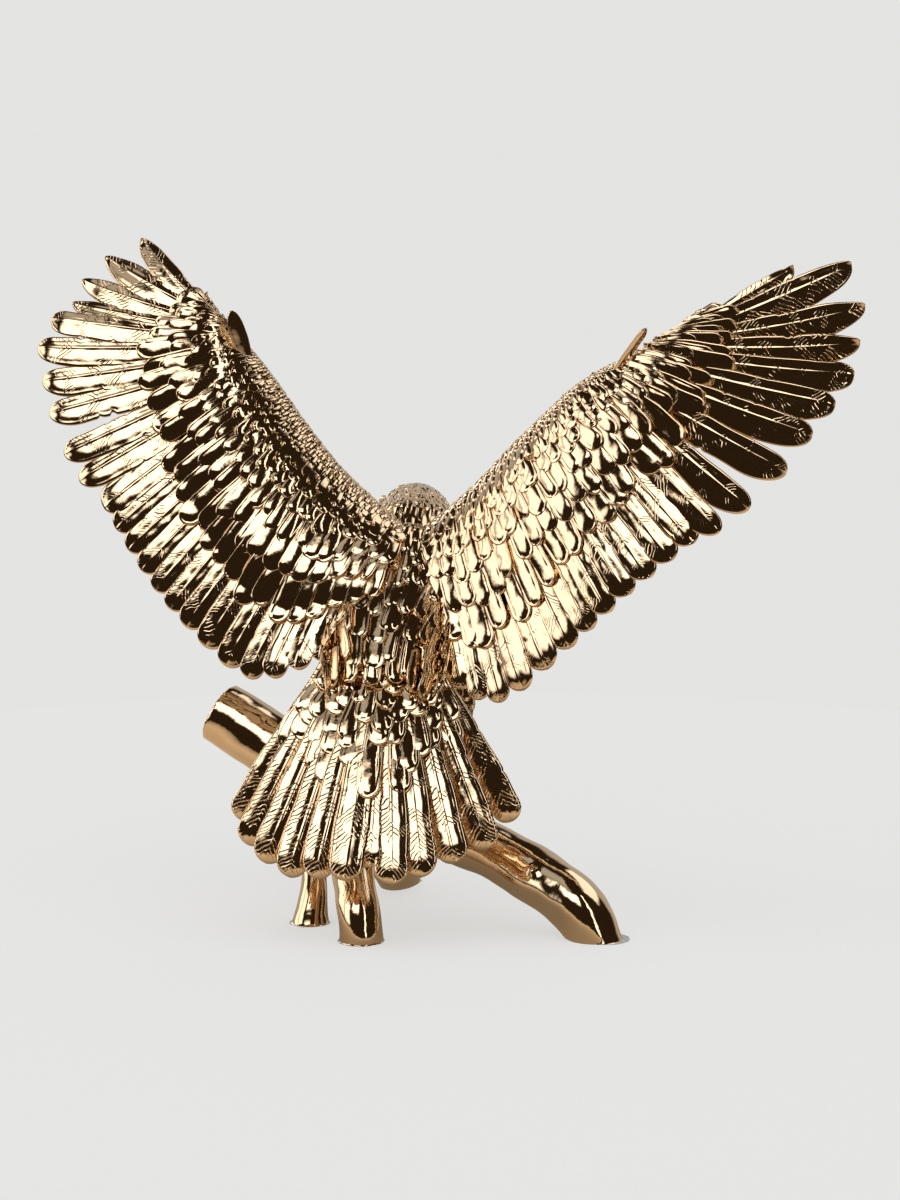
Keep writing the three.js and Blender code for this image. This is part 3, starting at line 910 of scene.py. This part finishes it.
def ringed(radius, length, spacing=4.0, deep=0.35):
    """Radii along a toe with the rings of its scutes."""
    size = value_through(radius)
    count = max(2, int(length / 1.2))
    share = np.linspace(0, 1, count)
    return [float(size(x) + deep * math.sin(TURN * length * x / spacing)) for x in share]


def legs_mesh():
    """Shanks, toes ringed with scutes and curved talons."""
    shells = Shells()
    for leg in LEGS:
        grip = branch_top(leg["grip_at"])
        knee = np.array(leg["knee"], float)
        limb(shells, [knee, (knee + grip) / 2, grip + (0, 0, 4)], ringed([13, 9.5, 9], 80), 90)
        for sideways, reach in TOES:
            heel = grip + (0, 0, 6)
            knuckle = grip + (sideways * 0.7, reach, 2)
            root = grip + (sideways * 0.95, reach * 1.28, -8)
            claw = grip + (sideways, reach * 1.3, -25)
            bend = grip + (sideways * 1.02, reach * 1.45, -16)
            limb(shells, [heel, knuckle, root], ringed([8, 7, 5.5], 38, 5.0), 60, 24)
            limb(shells, [root, bend, claw], [5, 3.4, 0.6], 24, 20)
    return fused(shells, "feet", FOOT_GRAIN, 1)


def thigh_feathers(rng):
    """The scaled thighs, each on a smooth core."""
    groups = []
    for leg in LEGS:
        hip, knee = np.array(leg["hip"], float), np.array(leg["knee"], float)
        places = (knee, knee + (hip - knee) * 0.5, hip)
        stations = zip(places, THIGH_RADII)
        surface = TubeSurface([(place, deep * THIGH_FLATNESS, deep) for place, deep in stations])
        shells = Shells()
        for number, tip in enumerate(np.linspace(0.0, 0.85, 9)):
            lay_row(
                shells, SCOOP, surface, rng, count=12, span=(0.0, 1.0),
                root=lambda across, tip=tip: tip + 0.25, tip=lambda across, tip=tip: tip,
                heights=(0.0, 2.4), half=lambda across: 5.6, shift=number % 2 / 2,
            )
        groups += [shells, tube(surface, 0.0, 1.1, 20, 24)]
    return join(*groups)


def ball(shells, centre, radius):
    """Adds a ball to shells."""
    turn = np.linspace(0.08, math.pi - 0.08, 16)
    axis = [np.array(centre) - (0, radius * math.cos(a), 0) for a in turn]
    around = np.linspace(0, TURN, 24, endpoint=False)
    circle = np.stack([np.cos(around), 0 * around, np.sin(around)], axis=-1)
    rings = np.array([place + circle * radius * math.sin(a) for place, a in zip(axis, turn)])
    shells.add(rings[:, ::-1])


def head_mesh():
    """The face: brows, eyes, the hooked beak with its cere, and the lower beak."""
    shells = Shells()
    limb(shells, [(-32, 116, 327), (-34, 130, 326), (-36, 140, 323)], [25, 20, 13])
    limb(shells, [(-35, 134, 327), (-39, 150, 330), (-42, 161, 325), (-43, 165, 309)], [13, 10, 7, 0.9])
    limb(shells, [(-36, 138, 327), (-38, 145, 328.5), (-39.5, 149, 329)], [13.5, 12.2, 10.4], 16)
    limb(shells, [(-36, 132, 315), (-39, 148, 313.5), (-41, 157, 312.5)], [9, 6.2, 2.0], 24)
    for side in (-1, 1):
        brow = [(-32 + side * 25, 116, 341), (-35 + side * 23, 129, 339), (-37 + side * 15, 143, 333)]
        limb(shells, brow, [2.2, 4.6, 2.2], 24, 16)
        cheek = [(-34 + side * 22, 122, 314), (-36 + side * 17, 134, 316), (-38 + side * 9, 146, 320)]
        limb(shells, cheek, [5, 5, 1.5], 24, 16)
    mesh = fused(shells, "head", HEAD_GRAIN, 2)
    points = mesh_points(mesh) + (CENTRE[0], CENTRE[1], 0)
    normals = mesh_normals(mesh)
    for side in (-1, 1):
        socket = np.array([-36 + side * 18.5, 132.5, 327])
        nostril = np.array([-39.5 + side * 10, 147.5, 331])
        for pit, size, deep in ((socket, 5.5, 2.2), (nostril, 1.6, 1.6)):
            away = np.linalg.norm(points - pit, axis=1)
            points = points - normals * (deep * bell(away, size))[:, None]
    move_points(mesh, points - (CENTRE[0], CENTRE[1], 0))
    return mesh


def eye_mesh():
    """Both eyes."""
    shells = Shells()
    for side in (-1, 1):
        ball(shells, (-36 + side * 20.0, 133.0, 328), 5.2)
    return shells.mesh("eyes")


# Materials


# Barbs: how far noise bends their rows, in millimetres, and how sharp a groove and a clear patch's edge are.
BARB_BEND = 16.0
GROOVE_SHARPNESS = 6.0
PATCH_SHARPNESS = 8.0
FINE_RIPPLE_SHARE = 0.3


def node_group(name, inputs, output):
    """An empty shader node group with named input sockets and one output socket."""
    group = bpy.data.node_groups.new(name, "ShaderNodeTree")
    for label, kind, default in inputs:
        socket = group.interface.new_socket(label, in_out="INPUT", socket_type="NodeSocket" + kind)
        socket.default_value = default
    label, kind = output
    group.interface.new_socket(label, in_out="OUTPUT", socket_type="NodeSocket" + kind)
    given = group.nodes.new("NodeGroupInput").outputs
    return group, given, group.nodes.new("NodeGroupOutput").inputs[label]


def shader_node(tree, kind, feeds=(), **settings):
    """A shader node with settings, its inputs fed, by name or number, from sockets or plain values."""
    node = tree.nodes.new("ShaderNode" + kind)
    for name, value in settings.items():
        setattr(node, name, value)
    for name, value in dict(feeds).items():
        if isinstance(value, bpy.types.NodeSocket):
            tree.links.new(value, node.inputs[name])
        else:
            node.inputs[name].default_value = value
    return node


def math_node(tree, operation, *values, clamp=False):
    """The result of a math node fed by sockets and numbers."""
    return shader_node(tree, "Math", enumerate(values), operation=operation, use_clamp=clamp).outputs[0]


def barb_group():
    """Slanting grooves between the barbs of a vane, read from the flat map in millimetres."""
    inputs = [("Spacing", "Float", 3.0), ("Slant", "Float", 1.1), ("Clear Share", "Float", 0.5)]
    group, given, result = node_group("barb_grooves", inputs, ("Height", "Float"))
    vane = shader_node(group, "UVMap", uv_map="vane").outputs["UV"]
    place = shader_node(group, "SeparateXYZ", {0: vane}).outputs
    slanted = math_node(group, "MULTIPLY", math_node(group, "ABSOLUTE", place["X"]), given["Slant"])
    straight = math_node(group, "SUBTRACT", place["Y"], slanted)
    bend = shader_node(group, "TexNoise", {"Vector": vane, "Scale": 0.05, "Detail": 2.0}).outputs["Fac"]
    bent = math_node(group, "MULTIPLY_ADD", bend, BARB_BEND, straight)
    tooth = math_node(group, "FRACT", math_node(group, "DIVIDE", bent, given["Spacing"]))
    away = math_node(group, "ABSOLUTE", math_node(group, "SUBTRACT", tooth, 0.5))
    aslope = math_node(group, "MULTIPLY", away, GROOVE_SHARPNESS)
    groove = math_node(group, "SUBTRACT", 1.0, aslope, clamp=True)
    patch = shader_node(group, "TexNoise", {"Vector": vane, "Scale": 0.06, "Detail": 1.0}).outputs["Fac"]
    shown = math_node(group, "SUBTRACT", patch, given["Clear Share"])
    shown = math_node(group, "MULTIPLY", shown, PATCH_SHARPNESS, clamp=True)
    deep = math_node(group, "MULTIPLY", groove, shown)
    group.links.new(math_node(group, "SUBTRACT", 1.0, deep), result)
    return group


def ripple_group():
    """Soft waves in the glaze, at two sizes."""
    inputs = [("Size", "Float", 120.0), ("Fine Size", "Float", 420.0)]
    group, given, result = node_group("glaze_ripple", inputs, ("Height", "Float"))
    where = shader_node(group, "TexCoord").outputs["Object"]
    broad, fine = (
        shader_node(group, "TexNoise", {"Vector": where, "Scale": given[size], "Detail": 1.5}).outputs["Fac"]
        for size in ("Size", "Fine Size")
    )
    small = math_node(group, "MULTIPLY", fine, FINE_RIPPLE_SHARE)
    group.links.new(math_node(group, "ADD", broad, small), result)
    return group


def lustre_colour_group():
    """The gold's colour, rosier in some places and paler in others."""
    inputs = [("Gold", "Color", (0.8, 0.5, 0.25, 1)), ("Rose", "Color", (0.8, 0.5, 0.3, 1))]
    group, given, result = node_group("lustre_colour", inputs, ("Color", "Color"))
    where = shader_node(group, "TexCoord").outputs["Object"]
    noise = shader_node(group, "TexNoise", {"Vector": where, "Scale": 14.0}).outputs["Fac"]
    # Inputs 6 and 7 and output 2 are the colours of a mix node.
    mixer = shader_node(group, "Mix", {"Factor": noise, 6: given["Gold"], 7: given["Rose"]}, data_type="RGBA")
    group.links.new(mixer.outputs[2], result)
    return group


def group_node(tree, name, make, feeds):
    """The named node group in a material, made on its first use."""
    return shader_node(tree, "Group", feeds, node_tree=bpy.data.node_groups.get(name) or make()).outputs[0]


def bump(tree, height, deep, **normal):
    """The normal of a surface on which a height of 1 stands deep millimetres high."""
    feeds = {"Strength": 1.0, "Distance": deep * MILLIMETRE, "Height": height, **normal}
    return shader_node(tree, "Bump", feeds).outputs["Normal"]


def lustre(name, *, spacing=3.0, clear=0.5, barb_depth=0.0, ripple_depth=0.4, size=120.0):
    """A gold lustre over glazed porcelain, with depths in millimetres."""
    settings = bpy.context.scene.eagle_glaze
    material = bpy.data.materials.new(name)
    material.use_nodes = True
    tree = material.node_tree
    shader = tree.nodes["Principled BSDF"]
    shader.inputs["Metallic"].default_value = 1.0
    shader.inputs["Roughness"].default_value = settings.roughness
    colours = {"Gold": (*settings.gold, 1), "Rose": (*settings.rose, 1)}
    colour = group_node(tree, "lustre_colour", lustre_colour_group, colours)
    tree.links.new(colour, shader.inputs["Base Color"])
    normal = bump(tree, group_node(tree, "glaze_ripple", ripple_group, {"Size": size}), ripple_depth)
    if barb_depth:
        barbs = group_node(tree, "barb_grooves", barb_group, {"Spacing": spacing, "Clear Share": clear})
        normal = bump(tree, barbs, barb_depth, Normal=normal)
    tree.links.new(normal, shader.inputs["Normal"])
    return material


def made_material(name, **facts):
    """The named lustre, made on its first use."""
    return bpy.data.materials.get(name) or lustre(name, **facts)


def flight_lustre():
    """The lustre of the broad flight feathers, with shallow barbs."""
    name = "lustre_on_flight_feathers"
    return made_material(name, spacing=3.8, clear=0.53, barb_depth=0.16, ripple_depth=0.1)


def barbed_lustre():
    """The lustre of the pointed flight feathers and the tail, with deeper barbs."""
    name = "lustre_on_barbed_feathers"
    return made_material(name, spacing=4.6, clear=0.47, barb_depth=0.3, ripple_depth=0.08)


def covert_lustre():
    """The lustre of the small feathers, without barbs."""
    return made_material("lustre_on_small_feathers", ripple_depth=0.14)


def skin_lustre():
    """The lustre of the head, the eyes and the feet."""
    return made_material("lustre_on_feet_and_beak", ripple_depth=0.12, size=260.0)


def bark_lustre():
    """The lustre of the branch, with broad waves."""
    return made_material("lustre_on_bark", ripple_depth=0.1, size=70.0)


# Settings


class EagleGlazeSettings(bpy.types.PropertyGroup):
    """Looks of the lustre"""

    gold: bpy.props.FloatVectorProperty(
        name="Gold", description="Main colour of the lustre", subtype="COLOR", size=3, min=0, max=1,
        default=(0.85, 0.63, 0.39),
    )
    rose: bpy.props.FloatVectorProperty(
        name="Rose", description="Rosier colour of the lustre", subtype="COLOR", size=3, min=0, max=1,
        default=(0.85, 0.66, 0.46),
    )
    roughness: bpy.props.FloatProperty(
        name="Roughness", description="How blurred reflections in the lustre are", default=0.06, min=0, max=1,
        subtype="FACTOR",
    )


class EagleStageSettings(bpy.types.PropertyGroup):
    """The backdrop and the camera"""

    pale: bpy.props.FloatProperty(
        name="Backdrop", description="Brightness of the floor and of what lies behind it", default=0.775,
        min=0, max=1, subtype="FACTOR",
    )
    camera_place: bpy.props.FloatVectorProperty(
        name="Camera", description="Where the camera stands", size=3, default=(0.0105, -2.5877, 0.6303),
        unit="LENGTH", subtype="TRANSLATION",
    )
    camera_tilt: bpy.props.FloatProperty(
        name="Camera tilt", description="How far the camera looks down", default=math.radians(8),
        unit="ROTATION",
    )
    lens: bpy.props.FloatProperty(
        name="Lens", description="Focal length on a 36 mm sensor", default=92.5, unit="CAMERA",
    )


class EagleSeedSettings(bpy.types.PropertyGroup):
    """Where the random draws start"""

    seed: bpy.props.IntProperty(
        name="Seed", description="Chooses the small differences between feathers", default=7,
    )


# Operators


# What the lustre mirrors: azimuth from the camera's side towards +X and height above the floor, half of the
# width and of the height, softness of the edge, all in degrees, and brightness.
PANELS = [
    ("left back", -103, 13, 21, 17, 4, 1.6),
    ("left", -71, 15, 21, 17, 5, 1.75),
    ("front", -22, 20, 43, 11, 4, 2.3),
    ("strip", 30, 3.5, 32, 30, 2, 2.4),
    ("right", 115, 35, 52, 14, 5, 1.3),
    ("ceiling", -44, 22, 67, 10, 4, 0.45),
    ("far strip", -152, 5, 30, 28, 3, 2.2),
    ("backdrop", 180, 60, 6, 34, 9, 0.45),
]
KEY_LIGHT_PLACE = (-0.6, -0.4, 2.2)
KEY_LIGHT_SIZE = 1.2
KEY_LIGHT_POWER = 4.0
PANEL_COLOUR = (1.0, 0.98, 0.95, 1)
UNLIT_COLOUR = (0.022, 0.0135, 0.006, 1)
FLOOR_RADIUS = 1.1
FLOOR_CORNERS = 96
# The share of the floor's paleness that is its own glow.
FLOOR_GLOW = 0.75
# The floor as the lustre shows it, a painted reflection: a glow that only reflections see, dimmer and warmer
# than the floor.
PAINTED_FLOOR_REFLECTION = (0.5, 0.4, 0.29)
# Its brightness by metres from the middle: dark under the eagle as painted shadow, brightest round it, and
# fading outwards.
PAINTED_SHADE_RING = [(0.0, 0.35), (0.14, 0.5), (0.26, 1.0), (0.45, 1.4), (0.7, 0.9), (1.0, 0.35)]


def aimed(place, target):
    """Rotation of a light at a place so that it looks at a target."""
    return (Vector(target) - Vector(place)).to_track_quat("-Z", "Y").to_euler()


def panel_mask(tree, azimuth, height, facts):
    """How much of a soft studio panel is seen in a direction."""
    _, turn, half_turn, rise, half_rise, soft, brightness = facts
    aside = math_node(tree, "COSINE", math_node(tree, "SUBTRACT", azimuth, math.radians(turn)))
    aside = math_node(tree, "ARCCOSINE", aside)
    above = math_node(tree, "ABSOLUTE", math_node(tree, "SUBTRACT", height, math.radians(rise)))
    masks = []
    for value, half in ((aside, half_turn), (above, half_rise)):
        edges = {"Value": value, "From Min": math.radians(half + soft), "From Max": math.radians(half - soft)}
        masks.append(shader_node(tree, "MapRange", edges, interpolation_type="SMOOTHSTEP").outputs["Result"])
    return math_node(tree, "MULTIPLY", math_node(tree, "MULTIPLY", *masks), brightness)


def seen_or_mirrored(tree, seen, mirrored):
    """One shader for what is seen directly, and one for what the lustre mirrors."""
    mirror = shader_node(tree, "LightPath").outputs["Is Glossy Ray"]
    return shader_node(tree, "MixShader", {0: mirror, 1: seen, 2: mirrored}).outputs[0]


def pale_colour(pale):
    """The faintly warm white of the floor and the backdrop."""
    return (pale, pale, pale * 0.985, 1)


def make_key_light():
    """A faint light from above, for the soft shadow at the feet."""
    lamp = bpy.data.lights.new("key_light", "AREA")
    lamp.shape = "DISK"
    lamp.size = KEY_LIGHT_SIZE
    lamp.energy = KEY_LIGHT_POWER
    key = bpy.data.objects.new("key_light", lamp)
    key.location = KEY_LIGHT_PLACE
    key.rotation_euler = aimed(key.location, (0, 0, 0))
    key.visible_camera = False
    key.visible_glossy = False
    bpy.context.scene.collection.objects.link(key)


def make_world(pale):
    """Pale to the eye, even on the floor, and in reflections dark but for the panels."""
    world = bpy.data.worlds.new("studio")
    bpy.context.scene.world = world
    world.use_nodes = True
    tree = world.node_tree
    tree.nodes.clear()
    output = shader_node(tree, "OutputWorld")
    where = shader_node(tree, "TexCoord").outputs["Generated"]
    parts = shader_node(tree, "SeparateXYZ", {0: where}).outputs
    azimuth = math_node(tree, "ARCTAN2", parts["X"], math_node(tree, "MULTIPLY", parts["Y"], -1.0))
    height = math_node(tree, "ARCSINE", parts["Z"])
    total = 0.0
    for facts in PANELS:
        total = math_node(tree, "ADD", panel_mask(tree, azimuth, height, facts), total)
    bright = shader_node(tree, "Background", {"Color": pale_colour(pale)}).outputs[0]
    lit = shader_node(tree, "Background", {"Color": PANEL_COLOUR, "Strength": total}).outputs[0]
    unlit = shader_node(tree, "Background", {"Color": UNLIT_COLOUR}).outputs[0]
    mirrored = shader_node(tree, "AddShader", {0: lit, 1: unlit}).outputs[0]
    tree.links.new(seen_or_mirrored(tree, bright, mirrored), output.inputs["Surface"])


def floor_material(pale):
    """A pale matt floor that glows a little, and that shows the lustre a painted reflection: a dim warm ring
    with painted shadow under the eagle.
    """
    material = bpy.data.materials.new("pale_floor")
    material.use_nodes = True
    tree = material.node_tree
    shader = tree.nodes["Principled BSDF"]
    shade = 1 - FLOOR_GLOW
    looks = {
        "Base Color": (shade, shade, shade, 1), "Emission Color": pale_colour(pale),
        "Emission Strength": FLOOR_GLOW, "Roughness": 1.0, "Specular IOR Level": 0.0,
    }
    for socket, value in looks.items():
        shader.inputs[socket].default_value = value
    where = shader_node(tree, "TexCoord").outputs["Object"]
    reach = shader_node(tree, "VectorMath", {0: where}, operation="LENGTH").outputs["Value"]
    ring = shader_node(tree, "ValToRGB", {"Fac": reach})
    stops = ring.color_ramp.elements
    for place, _ in PAINTED_SHADE_RING[1:-1]:
        stops.new(place)
    for stop, (place, light) in zip(stops, PAINTED_SHADE_RING):
        stop.position = place
        stop.color = (light, light, light, 1)
    # Only reflections see this glow: a painted reflection of the floor, with painted shadow under the eagle.
    glow = {"Color": (*PAINTED_FLOOR_REFLECTION, 1), "Strength": ring.outputs["Color"]}
    mirrored = shader_node(tree, "Emission", glow).outputs[0]
    chosen = seen_or_mirrored(tree, shader.outputs[0], mirrored)
    tree.links.new(chosen, tree.nodes["Material Output"].inputs["Surface"])
    return material


def make_floor(pale):
    """A round pale floor under the whole shadow."""
    turns = [TURN * k / FLOOR_CORNERS for k in range(FLOOR_CORNERS)]
    corners = [(FLOOR_RADIUS * math.cos(turn), FLOOR_RADIUS * math.sin(turn), 0) for turn in turns]
    mesh = bpy.data.meshes.new("floor")
    mesh.from_pydata(corners, [], [tuple(range(FLOOR_CORNERS))])
    mesh.materials.append(floor_material(pale))
    floor = bpy.data.objects.new("floor", mesh)
    bpy.context.scene.collection.objects.link(floor)


class EAGLE_OT_stage(bpy.types.Operator):
    """Sets up the pale floor, the studio light and the camera"""

    bl_idname = "eagle.stage"
    bl_label = "Stage"

    def execute(self, context):
        settings = context.scene.eagle_stage
        context.scene.view_settings.view_transform = "Standard"
        make_world(settings.pale)
        make_floor(settings.pale)
        make_key_light()
        lens = bpy.data.cameras.new("camera")
        lens.sensor_fit = "AUTO"
        lens.sensor_width = 36
        lens.lens = settings.lens
        camera = bpy.data.objects.new("camera", lens)
        camera.location = settings.camera_place
        camera.rotation_euler = (math.pi / 2 - settings.camera_tilt, 0, 0)
        context.scene.collection.objects.link(camera)
        context.scene.camera = camera
        return {"FINISHED"}


class EAGLE_OT_branch(bpy.types.Operator):
    """Makes the forked branch"""

    bl_idname = "eagle.branch"
    bl_label = "Branch"

    def execute(self, context):
        make_piece("branch", branch_mesh(), bark_lustre())
        return {"FINISHED"}


class EAGLE_OT_body(bpy.types.Operator):
    """Makes the body, the head, the thighs and the feet"""

    bl_idname = "eagle.body"
    bl_label = "Body, head and legs"

    def execute(self, context):
        rng = np.random.default_rng(context.scene.eagle_seed.seed)
        make_piece("body", body_feathers(rng).mesh("body"), covert_lustre())
        make_piece("head", head_mesh(), skin_lustre())
        make_piece("eyes", eye_mesh(), skin_lustre())
        make_piece("thighs", thigh_feathers(rng).mesh("thighs"), covert_lustre())
        make_piece("feet", legs_mesh(), skin_lustre())
        return {"FINISHED"}


class EAGLE_OT_tail(bpy.types.Operator):
    """Makes the fanned tail"""

    bl_idname = "eagle.tail"
    bl_label = "Tail"

    def execute(self, context):
        rng = np.random.default_rng(context.scene.eagle_seed.seed + 1)
        feathers, coverts = tail_feathers(rng)
        make_piece("tail", feathers.mesh("tail"), barbed_lustre())
        make_piece("tail_coverts", coverts.mesh("tail_coverts"), covert_lustre())
        return {"FINISHED"}


class EAGLE_OT_wings(bpy.types.Operator):
    """Makes both wings: flight feathers, coverts and the lining below"""

    bl_idname = "eagle.wings"
    bl_label = "Wings"

    def execute(self, context):
        rng = np.random.default_rng(context.scene.eagle_seed.seed + 2)
        for side, facts in (("right", RIGHT_WING), ("left", LEFT_WING)):
            wing = WingSurface(**facts)
            flights, fingers = wing_flights(wing, rng)
            coverts = join(wing_coverts(wing, rng), wing_core(wing))
            lining = wing_lining(wing, rng)
            for ending, shells, material in (
                ("flights", flights, flight_lustre()),
                ("fingers", fingers, barbed_lustre()),
                ("coverts", coverts, covert_lustre()),
                ("lining", lining, covert_lustre()),
            ):
                name = side + "_wing_" + ending
                make_piece(name, shells.mesh(name), material)
        return {"FINISHED"}


class EAGLE_PT_sidebar(bpy.types.Panel):
    """Lists the pieces of the eagle in the order they are made"""

    bl_idname = "EAGLE_PT_sidebar"
    bl_label = "Porcelain Eagle"
    bl_space_type = "VIEW_3D"
    bl_region_type = "UI"
    bl_category = "Eagle"

    def draw(self, context):
        scene = context.scene
        for group in (scene.eagle_glaze, scene.eagle_stage, scene.eagle_seed):
            for name in group.__annotations__:
                self.layout.prop(group, name)
        for operator in OPERATORS:
            self.layout.operator(operator.bl_idname)


SETTINGS = {
    "eagle_glaze": EagleGlazeSettings,
    "eagle_stage": EagleStageSettings,
    "eagle_seed": EagleSeedSettings,
}
OPERATORS = (EAGLE_OT_stage, EAGLE_OT_branch, EAGLE_OT_body, EAGLE_OT_tail, EAGLE_OT_wings)


def register():
    for cls in (*SETTINGS.values(), *OPERATORS, EAGLE_PT_sidebar):
        bpy.utils.register_class(cls)
    for name, cls in SETTINGS.items():
        setattr(bpy.types.Scene, name, bpy.props.PointerProperty(type=cls))


def unregister():
    for name in SETTINGS:
        delattr(bpy.types.Scene, name)
    for cls in reversed((*SETTINGS.values(), *OPERATORS, EAGLE_PT_sidebar)):
        bpy.utils.unregister_class(cls)


def main():
    """Makes the whole scene."""
    register()
    bpy.ops.eagle.stage()
    bpy.ops.eagle.branch()
    bpy.ops.eagle.body()
    bpy.ops.eagle.tail()
    bpy.ops.eagle.wings()
    bpy.context.view_layer.update()


if __name__ == "__main__":
    main()
